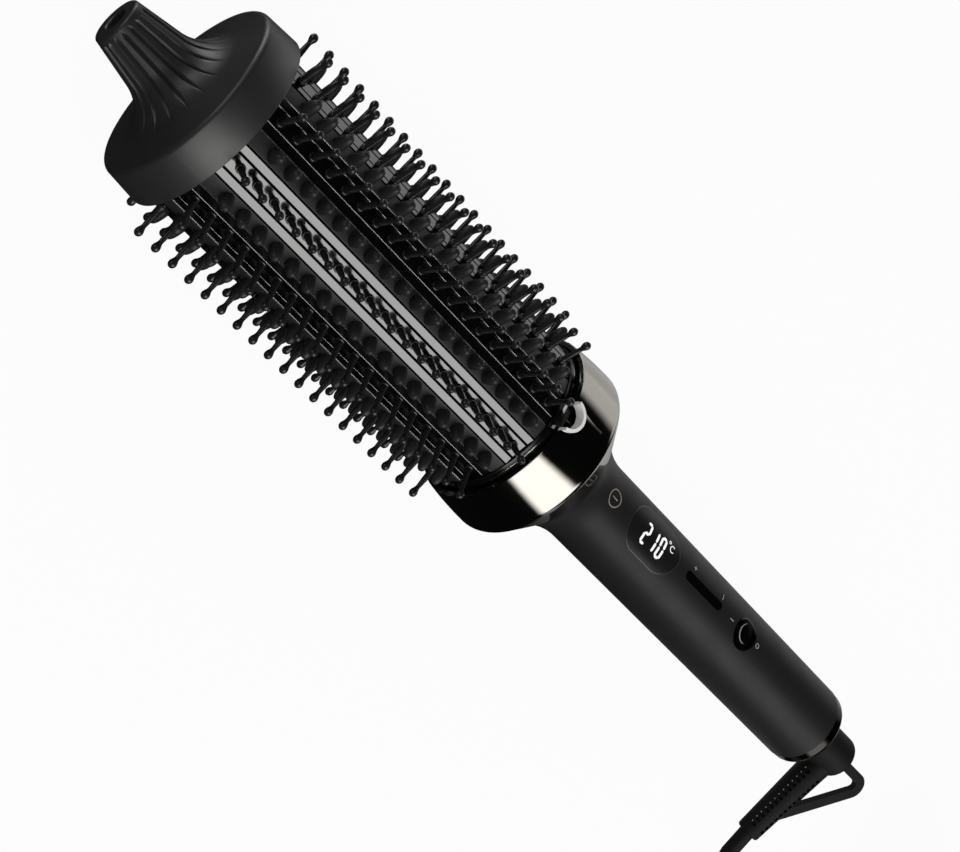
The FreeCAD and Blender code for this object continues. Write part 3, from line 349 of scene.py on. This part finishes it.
ROUND_REACH = 1.5         # from the edge to where the plain arc starts, in widths of a round
WIDE_STEPS = 8
LIP_STEPS = 5


def arc(r, start, end, steps):
    """Points along an arc, as (radius, clock angle)."""
    return [(r, start + (end - start) * k / steps) for k in range(steps + 1)]


def bevelled(r, start, end, steps):
    """Outer arc that turns down at both ends in small quarter rounds."""
    side = 1 if end > start else -1
    turn = math.degrees(ROUND / r)
    inset = side * ROUND_REACH * turn
    quarter = [(r - ROUND * (1 - math.sin(t)), turn * (1 - math.cos(t)))
               for t in map(math.radians, ROUND_TURNS)]
    return ([(q, start + side * a) for q, a in quarter]
            + arc(r, start + inset, end - inset, steps)
            + [(q, end - side * a) for q, a in reversed(quarter)])


def clocked(corners):
    """Section corners (sideways, outwards) in mm as (radius, clock angle) points."""
    return [(math.hypot(y, z), math.degrees(math.atan2(y, z))) for y, z in corners]


def extruded(name, section, turn, material):
    """Long strip with a section of (radius, clock angle) points."""
    count = len(section)
    points = [at(x, r, a + turn) for x in (HEAD_X0, HEAD_X1) for r, a in section]
    faces = ring_faces(0, count, 2)
    faces += [tuple(range(count - 1, -1, -1)), tuple(range(count, 2 * count))]
    return piece(name, points, faces, material)


def plate_section():
    """Flat plate with two deep grooves."""
    half = PLATE_TOP * math.tan(math.radians(PLATE_HALF))
    top = [(-half, PLATE_TOP - ROUND), (-half + ROUND, PLATE_TOP)]
    for middle in (-GROOVE_AT, GROOVE_AT):
        top += [(middle - GROOVE_HALF, PLATE_TOP), (middle - GROOVE_HALF, GROOVE_FLOOR)]
        top += [(middle + GROOVE_HALF, GROOVE_FLOOR), (middle + GROOVE_HALF, PLATE_TOP)]
    top += [(half - ROUND, PLATE_TOP), (half, PLATE_TOP - ROUND)]
    return clocked(top) + arc(CARRIER_R, PLATE_HALF, -PLATE_HALF, WIDE_STEPS)


def groove_shade_section(middle):
    """Black bar of painted shade that fills a groove of a plate to a little below the plate's top."""
    half = GROOVE_HALF - SHADE_FILL_SIDE
    floor = GROOVE_FLOOR + SHADE_FILL_UNDER
    return clocked([(middle - half, floor), (middle - half, SHADE_FILL_TOP), (middle + half, SHADE_FILL_TOP),
                    (middle + half, floor)])


def bead_section(middle, r):
    """Half-round bead on a seam."""
    points = []
    for k in range(BEAD_STEPS + 1):
        t = math.pi * k / BEAD_STEPS
        points.append((r + BEAD * math.sin(t), middle - math.degrees(BEAD * math.cos(t) / r)))
    return points + [(r - BEAD, middle + math.degrees(BEAD / r)), (r - BEAD, middle - math.degrees(BEAD / r))]


def channel_section():
    """Strip with a recess along its middle."""
    section = bevelled(CHANNEL_R, -CHANNEL_HALF, -RECESS_HALF, LIP_STEPS)
    section += arc(CHANNEL_FLOOR_R, -RECESS_HALF, RECESS_HALF, WIDE_STEPS)
    section += bevelled(CHANNEL_R, RECESS_HALF, CHANNEL_HALF, LIP_STEPS)
    return section + arc(CARRIER_R, CHANNEL_HALF, -CHANNEL_HALF, WIDE_STEPS)


BEADS = [(-CHANNEL_HALF - SEAM, CHANNEL_R), (-RECESS_HALF, CHANNEL_R), (RECESS_HALF, CHANNEL_R),
         (CHANNEL_HALF + SEAM, CHANNEL_R)]


def fin_section(side):
    """Strip that carries the fins on one side of a channel."""
    section = bevelled(HEAD_R, side * FIN_FIRST, side * FIN_LAST, WIDE_STEPS)
    return section + arc(CARRIER_R, side * FIN_LAST, side * FIN_FIRST, WIDE_STEPS)


# ---------------------------------------------------------------- pins and fins
PITCH = 6.07
PIN_COUNT = 19
PIN_START = CAP_END_X + 4.5
PIN_SIDES = 14
# levels of a pin and its feet: radius of the pin, radius from the axis
BALL_PIN = [(0.92, 26.4), (0.86, 28.0), (0.74, 29.8), (0.66, 31.0), (0.7, 31.5), (0.86, 31.95), (1.05, 32.4),
            (1.17, 32.85), (1.18, 33.25), (1.06, 33.7), (0.78, 34.08), (0.4, 34.33), (0.0, 34.4)]
PLATE_FOOT = [(1.35, 24.6), (1.35, 25.15), (1.24, 25.32), (1.02, 25.36), (0.98, 25.5)]
CHANNEL_FOOT = [(1.3, 23.4), (1.3, 23.95), (1.2, 24.1), (1.0, 24.2), (0.98, 24.6)]
FIN_COUNT = 18
FIN_START = CAP_END_X + 8.2
FIN_ANGLE = 18.0          # from the middle of the channel
FIN_POINTS = 24
FIN_POINTED = 1.25        # above 1 a fin narrows towards the plate beside it
# levels of a fin: radius from the axis, length along the brush, width around it
FIN_LEVELS = [(24.7, 3.9, 4.3), (25.8, 3.75, 4.1), (27.1, 3.45, 3.7), (28.3, 3.0, 3.15), (29.1, 2.4, 2.5),
              (29.6, 1.75, 1.8), (29.9, 0.95, 1.0), (30.0, 0.0, 0.0)]


def radial_point(x, angle, along, around, r):
    """Point beside a radius: along the brush and around it, both in mm."""
    a = math.radians(angle)
    side = Vector((0, -math.cos(a), -math.sin(a)))
    return at(x, r, angle) + Vector((along, 0, 0)) * MM + side * around * MM


def make_pins(name, angle, foot):
    """Row of slim pins with drop-shaped ends."""
    profile = foot + BALL_PIN
    points = []
    faces = []
    for k in range(PIN_COUNT):
        first = len(points)
        for radius, r in profile:
            for j in range(PIN_SIDES):
                t = 2 * math.pi * j / PIN_SIDES
                along, around = radius * math.cos(t), radius * math.sin(t)
                points.append(radial_point(PIN_START + PITCH * k, angle, along, around, r))
        faces += ring_faces(first, PIN_SIDES, len(profile))
    return piece(name, points, faces, PIN_PLASTIC)


def make_fins(name, angle, side):
    """Row of blunt domed fins, a little pointed towards the plate beside them."""
    points = []
    faces = []
    for k in range(FIN_COUNT):
        first = len(points)
        for r, length, width in FIN_LEVELS:
            for j in range(FIN_POINTS):
                t = 2 * math.pi * j / FIN_POINTS
                power = FIN_POINTED if math.cos(t) > 0 else 1.0
                along = math.copysign(abs(math.sin(t)) ** power, math.sin(t)) * length / 2
                around = side * math.cos(t) * width / 2
                points.append(radial_point(FIN_START + PITCH * k, angle, along, around, r))
        faces += ring_faces(first, FIN_POINTS, len(FIN_LEVELS))
    return piece(name, points, faces, STRIP_PLASTIC)


def make_barrel():
    """Five equal sectors of a channel, two fin strips and a grooved plate, with their pins and fins."""
    for i in range(SECTORS):
        number = str(i + 1)
        turn = STEP * i
        channel = extruded("channel_" + number, channel_section(), turn, CHANNEL_PLASTIC)
        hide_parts("channel_strip_" + number)
        for k, (middle, r) in enumerate(BEADS):
            name = "bead_" + number + "_" + str(k + 1)
            extruded(name, bead_section(middle, r), turn, SEAM_METAL)
        make_pins("channel_pins_" + number, turn, CHANNEL_FOOT)
        for hand, side in (("left", -1), ("right", 1)):
            suffix = number + "_" + hand
            strip = extruded("strip_" + suffix, fin_section(side), turn, STRIP_PLASTIC)
            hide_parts("fin_strip_" + suffix)
            make_fins("fins_" + suffix, turn + side * FIN_ANGLE, side)
        middle = turn + STEP / 2
        plate = extruded("plate_" + number, plate_section(), middle, PLATE_METAL)
        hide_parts("heat_plate_" + number)
        # black bars of painted shade in the plate's grooves
        for hand, place in (("left", -GROOVE_AT), ("right", GROOVE_AT)):
            name = "groove_shade_" + number + "_" + hand
            extruded(name, groove_shade_section(place), middle, GROOVE_SHADE)
        pins = make_pins("plate_pins_" + number, middle, PLATE_FOOT)
        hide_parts("pin_strip_" + number)


# ---------------------------------------------------------------- collar
COLLAR_R = 28.1           # at its front edge
COLLAR_EDGE = 0.16        # radius of the painted highlight line along that edge
COLLAR_SPANS = [(26.0, 48.0), (-84.0, -26.0)]  # clock angles on both sides of the hood
COLLAR_BLUNT = 0.03       # share of the half wave that is cut off at each end
COLLAR_STEPS = 40
COLLAR_SIDES = 8


def make_collar_painted_highlight():
    """Painted highlight: fine pale beads along the collar's front edge that run out on both sides of the
    hood.
    """
    points = []
    faces = []
    for start, end in COLLAR_SPANS:
        first = len(points)
        for k in range(COLLAR_STEPS + 1):
            share = k / COLLAR_STEPS
            fine = COLLAR_EDGE * math.sqrt(swell(share, COLLAR_BLUNT))
            for j in range(COLLAR_SIDES):
                t = 2 * math.pi * j / COLLAR_SIDES
                r = COLLAR_R - COLLAR_EDGE + fine * math.sin(t)
                points.append(at(COLLAR_X + fine * math.cos(t), r, start + (end - start) * share))
        last = len(points) - COLLAR_SIDES
        faces += ring_faces(first, COLLAR_SIDES, COLLAR_STEPS + 1)
        faces += [tuple(range(first + COLLAR_SIDES - 1, first - 1, -1))]
        faces += [tuple(range(last, last + COLLAR_SIDES))]
    piece("collar_painted_highlight", points, faces, PAINTED_HIGHLIGHT)


# ---------------------------------------------------------------- marks on the handle
HANDLE_R = 13.9
HANDLE_FLARE_R = 23.0     # of the round by which the handle widens into the collar
HANDLE_FLARE_LENGTH = 14.0
SHEET = 0.06              # thickness of marks and painted glints
LIFT = 0.02               # of a mark above its surface
LIT_LIFT = 0.03           # of lit figures and of the rocker's painted glint
POINT = 0.02              # share of the width at the tip of a pointed bar


def on_handle(u, v, lift):
    """Point above the handle: u mm along the brush, v mm of arc towards +Y, lift mm above the surface."""
    short = max(0.0, HANDLE_FLARE_LENGTH - (u - HANDLE_X))
    r = HANDLE_R + HANDLE_FLARE_R - math.sqrt(HANDLE_FLARE_R ** 2 - short ** 2)
    return at(u, r + lift, -math.degrees(v / HANDLE_R))


def bars(name, strips, lift, material, pointed=False):
    """Thin bars on the handle, each (u0, v0, u1, v1, width), with square or pointed ends."""
    points = []
    faces = []
    for u0, v0, u1, v1, width in strips:
        run = Vector((u1 - u0, v1 - v0))
        across = Vector((-run.y, run.x)).normalized() * width / 2
        inset = width / 2 / run.length
        if pointed:
            outline = [(0.0, POINT), (inset, 1.0), (0.5, 1.0), (1 - inset, 1.0), (1.0, POINT)]
        else:
            outline = [(0.0, 1.0), (0.5, 1.0), (1.0, 1.0)]
        first = len(points)
        for share, part in outline:
            middle = Vector((u0, v0)) + run * share
            for side in (part, -part):
                spot = middle + across * side
                points.append(on_handle(spot.x, spot.y, lift))
        for k in range(len(outline) - 1):
            low = first + 2 * k
            faces.append((low, low + 1, low + 3, low + 2))
    return piece(name, points, faces, material, thick=SHEET)


DISPLAY_LENGTH = 23.7
DISPLAY_WIDTH = 14.4
DIGIT_HEIGHT = 6.35
DIGIT_WIDTH = 1.9         # between the middles of the upright strokes
DIGIT_PITCH = 3.7
DIGIT_AT = (-4.95, -3.6)  # lower left corner of the first figure, from the middle of the display
SEGMENT_WIDTH = 0.82
SEGMENT_GAP = 0.05
SEGMENTS = {"2": "abged", "1": "bc", "0": "abcdef"}
FIGURES = "210"


def digit(figure, u, v):
    """Seven-segment figure as bars, with u, v its lower left corner; it reads along the brush."""
    w, h, g = DIGIT_WIDTH, DIGIT_HEIGHT, SEGMENT_GAP
    half = h / 2
    lines = {
        "a": (g, h, w - g, h), "b": (w, h - g, w, half + g), "c": (w, half - g, w, g), "d": (g, 0, w - g, 0),
        "e": (0, half - g, 0, g), "f": (0, h - g, 0, half + g), "g": (g, half, w - g, half)}
    return [(u + lines[s][0], v + lines[s][1], u + lines[s][2], v + lines[s][3], SEGMENT_WIDTH)
            for s in SEGMENTS[figure]]


def ring_bars(u, v, radius, width, start=0.0, end=360.0, count=20):
    """Short bars along a circle or part of it."""
    spots = []
    for k in range(count + 1):
        t = math.radians(start + (end - start) * k / count)
        spots.append((u + radius * math.cos(t), v + radius * math.sin(t)))
    return [(*here, *there, width) for here, there in zip(spots, spots[1:])]


RIM_WIDTH = 0.22
RIM_SECTION = [(-1, -0.05), (-0.5, 0.06), (0.5, 0.06), (1, -0.05)]  # share of the width and height (mm)
RIM_STEPS = 24


def make_display_rim():
    """Thin bead round the pill-shaped window, a little proud of the handle."""
    reach = (DISPLAY_LENGTH - DISPLAY_WIDTH) / 2
    count = 2 * RIM_STEPS
    points = []
    for k in range(count):
        t = math.pi * k / RIM_STEPS + math.pi / 2
        middle = -reach if k < RIM_STEPS else reach
        for share, height in RIM_SECTION:
            r = DISPLAY_WIDTH / 2 + share * RIM_WIDTH
            u = DISPLAY_X + middle + r * math.cos(t)
            points.append(at(u, HANDLE_R + height, -math.degrees(math.asin(r * math.sin(t) / HANDLE_R))))
    side = len(RIM_SECTION)
    faces = []
    for k in range(count):
        low, high = side * k, side * ((k + 1) % count)
        faces += [(low + j, low + (j + 1) % side, high + (j + 1) % side, high + j) for j in range(side)]
    piece("display_rim", points, faces, RIM_PLASTIC)


def laid(node, starts, way, lift):
    """Points where rays from the starts (m) along a direction meet a CAD node, lifted a little off it."""
    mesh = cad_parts[node].data
    tree = BVHTree.FromPolygons([v.co for v in mesh.vertices], [p.vertices[:] for p in mesh.polygons])
    return [tree.ray_cast(start, way)[0] - way * lift * MM for start in starts]


CRESCENT_R = 3.1
CRESCENT_WIDTH = 0.42
CRESCENT = (118.0, 292.0)  # from the tail side round by the -Y side
CRESCENT_BLUNT = 0.08     # share of the half wave that is cut off at each end
CRESCENT_STEPS = 20
CRESCENT_FROM = 0.1       # m, height from which it is laid down


def make_rocker_painted_glint():
    """Painted glint: a pale crescent sheet laid along the rounded edge of the power rocker."""
    start, end = CRESCENT
    spots = []
    for k in range(CRESCENT_STEPS + 1):
        share = k / CRESCENT_STEPS
        t = math.radians(start + (end - start) * share)
        half = CRESCENT_WIDTH / 2 * swell(share, CRESCENT_BLUNT)
        for r in (CRESCENT_R - half, CRESCENT_R + half):
            spots.append(Vector(((POWER_X + r * math.cos(t)) * MM, r * math.sin(t) * MM, CRESCENT_FROM)))
    faces = [(2 * k, 2 * k + 1, 2 * k + 3, 2 * k + 2) for k in range(CRESCENT_STEPS)]
    points = laid("power_rocker", spots, Vector((0, 0, -1)), LIT_LIFT)
    piece("rocker_painted_glint", points, faces, PAINTED_GLINT, body="power_rocker", thick=SHEET)


SLEEVE_X = 156.65
SLEEVE_CLOCK = 117.9
GLINT_COUNT = 13
GLINT_SIDES = 8
GLINT_START = 9.5         # along the sleeve from the axis of the brush
GLINT_PITCH = 2.05
GLINT_R = 0.24
GLINT_TURN = 154.0        # round the sleeve from the tail side
GLINT_FROM = 0.02         # m, distance from the middle of the sleeve from which they are laid on


def make_sleeve_painted_glints():
    """Painted highlights: a row of small pale dots laid on the sleeve beside the pockets of the bend relief.
    """
    a = math.radians(SLEEVE_CLOCK)
    t = math.radians(GLINT_TURN)
    run = Vector((0, -math.sin(a), math.cos(a)))
    out = Vector((math.cos(t), run.z * math.sin(t), -run.y * math.sin(t)))
    across = run.cross(out)
    starts = []
    faces = []
    for k in range(GLINT_COUNT):
        middle = at(SLEEVE_X, GLINT_START + GLINT_PITCH * k, SLEEVE_CLOCK)
        faces.append(tuple(range(len(starts), len(starts) + GLINT_SIDES)))
        for j in range(GLINT_SIDES):
            turn = 2 * math.pi * j / GLINT_SIDES
            offset = (run * math.cos(turn) + across * math.sin(turn)) * GLINT_R * MM
            starts.append(middle + out * GLINT_FROM + offset)
    points = laid("cord_boot", starts, -out, LIFT)
    piece("sleeve_painted_glints", points, faces, PAINTED_GLINT, body="cord_swivel", thick=SHEET)


UNIT_DEGREE = (5.9, 3.4, 0.42, 0.2)  # u and v from the middle of the display, radius and width of the stroke
UNIT_C = (7.6, 2.0, 1.0, 0.26)
UNIT_C_SPAN = (45, 315)
MARK_WIDTH = 0.22
MARK_HALF = 0.7           # half a plus, and the radius of the O
PLUS_U = -6.6             # from the middle of the slot
MINUS_U = 8.6
MINUS_HALF = 1.0
SIGNS_V = 3.6
ON_U = -7.8               # from the middle of the power rocker
ON_HALF = 0.9
OFF_U = 6.6
ION_X = 11.6              # behind the front end of the handle
ION_R = 2.6
ION_WIDTH = 0.35
ION_STEPS = 32


def make_marks():
    """Lit figures and unit in the display, signs beside the two rockers, and a ring with a minus in it."""
    strips = []
    u, v = DISPLAY_X + DIGIT_AT[0], DIGIT_AT[1]
    for k, figure in enumerate(FIGURES):
        strips += digit(figure, u + DIGIT_PITCH * k, v)
    bars("display_digits", strips, LIT_LIFT, DIGIT_LIGHT, pointed=True)
    unit = []
    for (u, v, r, width), span in ((UNIT_DEGREE, (0.0, 360.0)), (UNIT_C, UNIT_C_SPAN)):
        unit += ring_bars(DISPLAY_X + u, v, r, width, *span)
    bars("display_unit", unit, LIT_LIFT, DIGIT_LIGHT)
    plus_u, minus_u, v = SLOT_X + PLUS_U, SLOT_X + MINUS_U, SIGNS_V
    marks = [(minus_u, v - MINUS_HALF, minus_u, v + MINUS_HALF, MARK_WIDTH)]
    marks += [(plus_u - MARK_HALF, v, plus_u + MARK_HALF, v, MARK_WIDTH)]
    marks += [(plus_u, v - MARK_HALF, plus_u, v + MARK_HALF, MARK_WIDTH)]
    on_u = POWER_X + ON_U
    marks += [(on_u - ON_HALF, 0.0, on_u + ON_HALF, 0.0, MARK_WIDTH)]
    marks += ring_bars(POWER_X + OFF_U, 0.0, MARK_HALF, MARK_WIDTH)
    bars("control_marks", marks, LIFT, PALE_INK)
    ion_u = HANDLE_X + ION_X
    marks = ring_bars(ion_u, 0.0, ION_R, ION_WIDTH, count=ION_STEPS)
    marks += [(ion_u - ION_R / 2, 0.0, ion_u + ION_R / 2, 0.0, ION_WIDTH)]
    bars("ion_mark", marks, LIFT, MARK_INK)


# ---------------------------------------------------------------- cord
CORD_D = 5.4
COIL_X = 267.0
COIL_Y = -20.0
OUTER_R = 27.0            # middle of the cord in the outer layer
INNER_R = 21.6
LAST_R = 32.4
TABLE_Z = 2.7             # height of the cord's middle on the table
TOP_Z = 40.5
EXIT_Z = 8.1
POINTS_PER_TURN = 24
COIL_FROM = 270.0         # degrees from +X where the cord meets the coil
# turns, radius at the start and end, height at the start and end
COIL_LEGS = [(0.75, OUTER_R, OUTER_R, TABLE_Z, TABLE_Z), (0.25, OUTER_R, INNER_R, TABLE_Z, TABLE_Z),
             (7.0, INNER_R, INNER_R, TABLE_Z, TOP_Z), (0.25, INNER_R, OUTER_R, TOP_Z, TOP_Z),
             (5.5, OUTER_R, OUTER_R, TOP_Z, EXIT_Z), (0.25, OUTER_R, LAST_R, EXIT_Z, EXIT_Z)]
LEAD = [(SLEEVE_X, -34.03, 16.38), (SLEEVE_X, -50.83, 7.49), (180.0, -66.0, TABLE_Z), (245.0, -47.0, TABLE_Z)]
TAIL = [(279.0, -52.4, EXIT_Z), (291.0, -52.4, EXIT_Z)]
CORD_FACETS = 6
CORD_STEPS = 4


def coil_points():
    """Two layers of turns: up on the inside, then down over them, and out along the table."""
    points = []
    step = 360.0 / POINTS_PER_TURN
    outward = 1 / math.cos(math.radians(step / 2))  # the curve runs inside its control points
    done = 0
    for turns, r0, r1, z0, z1 in COIL_LEGS:
        count = round(turns * POINTS_PER_TURN)
        for k in range(count):
            share = k / count
            t = math.radians(COIL_FROM + step * (done + k))
            r = (r0 + (r1 - r0) * share) * outward
            points.append((COIL_X + r * math.cos(t), COIL_Y + r * math.sin(t), z0 + (z1 - z0) * share))
        done += count
    points.append((COIL_X, COIL_Y - LAST_R, EXIT_Z))
    return points


def make_cord():
    """One curve from the sleeve along the table, round the coil and out to the plug."""
    route = LEAD + coil_points() + TAIL
    data = bpy.data.curves.new("cord", "CURVE")
    data.dimensions = "3D"
    data.bevel_depth = CORD_D / 2 * MM
    data.bevel_resolution = CORD_FACETS
    data.resolution_u = CORD_STEPS
    line = data.splines.new("NURBS")
    line.points.add(len(route) - 1)
    for spot, (x, y, z) in zip(line.points, route):
        spot.co = (x * MM, y * MM, z * MM, 1.0)
    line.order_u = 3
    line.use_endpoint_u = True
    data.materials.append(RUBBER)
    cord = bpy.data.objects.new("cord", data)
    bpy.context.scene.collection.objects.link(cord)
    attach(cord, "cord_swivel")
    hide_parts("cord_lead", "cord_coil", "cord_tail")


# ---------------------------------------------------------------- stage and light
FLOOR_HALF = 6.0          # m
MATT_GREY = 0.8
SEEN_WHITE = 0.95         # share of plain white in the floor that the camera sees; the rest takes the shadow
FAR_WAY = (0.522, 0.853, 0.0)  # level direction from the brush to the far side of the table
FAR_REACH = 1.6           # m that way
FAR_LIGHT = (0.0, 0.08, 0.74, 0.86)  # shares of that reach at which the table in the gloss has these levels
GLOSS_DARK = 0.004
GLOSS_NEAR = 0.6
GLOSS_FAR = 0.8
GLOSS_LEVELS = (GLOSS_DARK, GLOSS_NEAR, GLOSS_FAR, GLOSS_DARK)
FILL = 0.335              # strength of the world on matt surfaces


def make_floor():
    """White for the camera, with the brush's own shadow; in the gloss, a table that is pale far behind."""
    mesh = bpy.data.meshes.new("floor")
    reach = FLOOR_HALF
    corners = [(-reach, -reach, 0), (reach, -reach, 0), (reach, reach, 0), (-reach, reach, 0)]
    mesh.from_pydata(corners, [], [(0, 1, 2, 3)])
    floor = bpy.data.objects.new("floor", mesh)
    bpy.context.scene.collection.objects.link(floor)
    material = bpy.data.materials.new("floor")
    material.use_nodes = True
    nodes = material.node_tree.nodes
    links = material.node_tree.links
    nodes.clear()
    matt = nodes.new("ShaderNodeBsdfDiffuse")
    matt.inputs["Color"].default_value = (MATT_GREY, MATT_GREY, MATT_GREY, 1.0)
    glow = nodes.new("ShaderNodeEmission")
    glow.inputs["Strength"].default_value = 1.0
    seen = nodes.new("ShaderNodeMath")
    seen.operation = "MULTIPLY"
    seen.inputs[1].default_value = SEEN_WHITE
    place = nodes.new("ShaderNodeTexCoord")
    beyond = nodes.new("ShaderNodeVectorMath")
    beyond.operation = "DOT_PRODUCT"
    beyond.inputs[1].default_value = [value / FAR_REACH for value in FAR_WAY]
    shade = nodes.new("ShaderNodeValToRGB")
    shade.color_ramp.interpolation = "EASE"
    stops = shade.color_ramp.elements
    while len(stops) < len(FAR_LIGHT):
        stops.new(0.5)
    for stop, spot, level in zip(stops, FAR_LIGHT, GLOSS_LEVELS):
        stop.position = spot
        stop.color = (level, level, level, 1.0)
    table = nodes.new("ShaderNodeEmission")
    path = nodes.new("ShaderNodeLightPath")
    mix = nodes.new("ShaderNodeMixShader")
    mirror = nodes.new("ShaderNodeMixShader")
    out = nodes.new("ShaderNodeOutputMaterial")
    links.new(path.outputs["Is Camera Ray"], seen.inputs[0])
    links.new(seen.outputs[0], mix.inputs["Fac"])
    links.new(matt.outputs[0], mix.inputs[1])
    links.new(glow.outputs[0], mix.inputs[2])
    links.new(place.outputs["Object"], beyond.inputs[0])
    links.new(beyond.outputs["Value"], shade.inputs["Fac"])
    links.new(shade.outputs["Color"], table.inputs["Color"])
    links.new(path.outputs["Is Glossy Ray"], mirror.inputs["Fac"])
    links.new(mix.outputs[0], mirror.inputs[1])
    links.new(table.outputs[0], mirror.inputs[2])
    links.new(mirror.outputs[0], out.inputs["Surface"])
    mesh.materials.append(material)


def make_world():
    """White for the camera, a plain fill for the matt surfaces and a dim room in the gloss."""
    world = bpy.data.worlds.new("studio")
    bpy.context.scene.world = world
    world.use_nodes = True
    nodes = world.node_tree.nodes
    links = world.node_tree.links
    nodes.clear()
    path = nodes.new("ShaderNodeLightPath")
    shades = []
    for strength in (FILL, GLOSS_DARK, 1.0):
        shade = nodes.new("ShaderNodeBackground")
        shade.inputs["Color"].default_value = (*WHITE, 1.0)
        shade.inputs["Strength"].default_value = strength
        shades.append(shade)
    fill, dim, white = shades
    gloss = nodes.new("ShaderNodeMixShader")
    mix = nodes.new("ShaderNodeMixShader")
    out = nodes.new("ShaderNodeOutputWorld")
    links.new(path.outputs["Is Glossy Ray"], gloss.inputs["Fac"])
    links.new(fill.outputs[0], gloss.inputs[1])
    links.new(dim.outputs[0], gloss.inputs[2])
    links.new(path.outputs["Is Camera Ray"], mix.inputs["Fac"])
    links.new(gloss.outputs[0], mix.inputs[1])
    links.new(white.outputs[0], mix.inputs[2])
    links.new(mix.outputs[0], out.inputs["Surface"])


MIDDLE_X = -0.03          # m, the station at which all lamps point
FACE_HALF = 0.5           # from the middle of a lamp's face to its edge, in shares of the face
# direction, distance, width and height (m), radiance, share of the face that fades at each edge, colour
LAMPS = {
    "key": ((0.46, -0.66, 0.56), 1.2, 1.8, 1.06, 2.7, 0.2, (1.0, 0.985, 0.965)),
    "rim": ((0.52, 0.85, 0.19), 1.4, 1.4, 1.3, 0.85, 0.3, (1.0, 0.99, 0.975)),
    "card": ((-0.81, 0.57, -0.157), 0.24, 0.2, 0.16, 3.2, 0.4, WHITE),  # close beside the cool tip
    "front": ((-0.9, 0.1, 0.3), 1.3, 0.6, 1.3, 1.8, 0.35, WHITE)}


def lamp(name, toward, distance, width, height, radiance, soft, colour):
    """Soft box that fades at its edges, in a direction from the brush, with its width along the brush."""
    data = bpy.data.lights.new(name, "AREA")
    data.shape = "RECTANGLE"
    data.size = width
    data.size_y = height
    data.energy = radiance * math.pi * width * height
    data.color = colour
    data.use_nodes = True
    nodes = data.node_tree.nodes
    links = data.node_tree.links
    place = nodes.new("ShaderNodeNewGeometry")
    split = nodes.new("ShaderNodeSeparateXYZ")
    both = nodes.new("ShaderNodeMath")
    both.operation = "MULTIPLY"
    links.new(place.outputs["Parametric"], split.inputs[0])
    for k, axis in enumerate("XY"):
        middle = nodes.new("ShaderNodeMath")
        middle.operation = "SUBTRACT"
        middle.inputs[1].default_value = FACE_HALF
        away = nodes.new("ShaderNodeMath")
        away.operation = "ABSOLUTE"
        fade = nodes.new("ShaderNodeMapRange")
        fade.interpolation_type = "SMOOTHSTEP"
        fade.inputs["From Min"].default_value = FACE_HALF
        fade.inputs["From Max"].default_value = FACE_HALF - soft
        links.new(split.outputs[axis], middle.inputs[0])
        links.new(middle.outputs[0], away.inputs[0])
        links.new(away.outputs[0], fade.inputs["Value"])
        links.new(fade.outputs["Result"], both.inputs[k])
    links.new(both.outputs[0], nodes["Emission"].inputs["Strength"])
    box = bpy.data.objects.new(name, data)
    way = Vector(toward).normalized()
    along = (Vector((1, 0, 0)) - way * way.x).normalized()
    centre = Vector((MIDDLE_X, 0.0, AXIS_Z * MM))
    turn = Matrix((along, way.cross(along), way)).transposed().to_4x4()
    box.matrix_world = Matrix.Translation(centre + way * distance) @ turn
    box.visible_camera = False
    bpy.context.scene.collection.objects.link(box)


# ---------------------------------------------------------------- CAD nodes that are shown as they are
NODE_FINISH = {
    "tip_screw": STEEL, "head_flange": FLANGE_PLASTIC, "flange_ring": BRIGHT_METAL,
    # the ion outlet gets the painted highlight finish in place of the reflection on its polished rim
    "collar": COLLAR_METAL, "ion_outlet": PAINTED_HIGHLIGHT, "ion_emitter": STEEL,
    "handle_sleeve": SOFT_TOUCH, "display_window": DISPLAY_GLASS, "tail_ring": TAIL_METAL,
    "temperature_rocker": GLOSS_BLACK, "power_rocker": ROCKER_BLACK, "power_switch": GLOSS_BLACK,
    "cord_boot": RUBBER, "cord_tie": RUBBER, "plug_body": RUBBER, "plug_pins": STEEL,
    "control_board": ELECTRONICS, "ion_module": ELECTRONICS, "display_module": ELECTRONICS,
    "heat_spreader_upper": ALUMINIUM, "heat_spreader_lower": ALUMINIUM, "swivel_shaft": STEEL,
    "mains_wires": COPPER, "thermal_fuse": COPPER, "thermistor": COPPER}

for cad_name, cad_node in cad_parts.items():
    cad_node.data.materials.clear()
    cad_node.data.materials.append(NODE_FINISH.get(cad_name, INNER_PLASTIC))

# ---------------------------------------------------------------- the whole scene
make_cool_tip()
make_barrel()
make_collar_painted_highlight()
make_display_rim()
make_rocker_painted_glint()
make_sleeve_painted_glints()
make_marks()
make_cord()
make_floor()
make_world()
for lamp_name, values in LAMPS.items():
    lamp(lamp_name, *values)
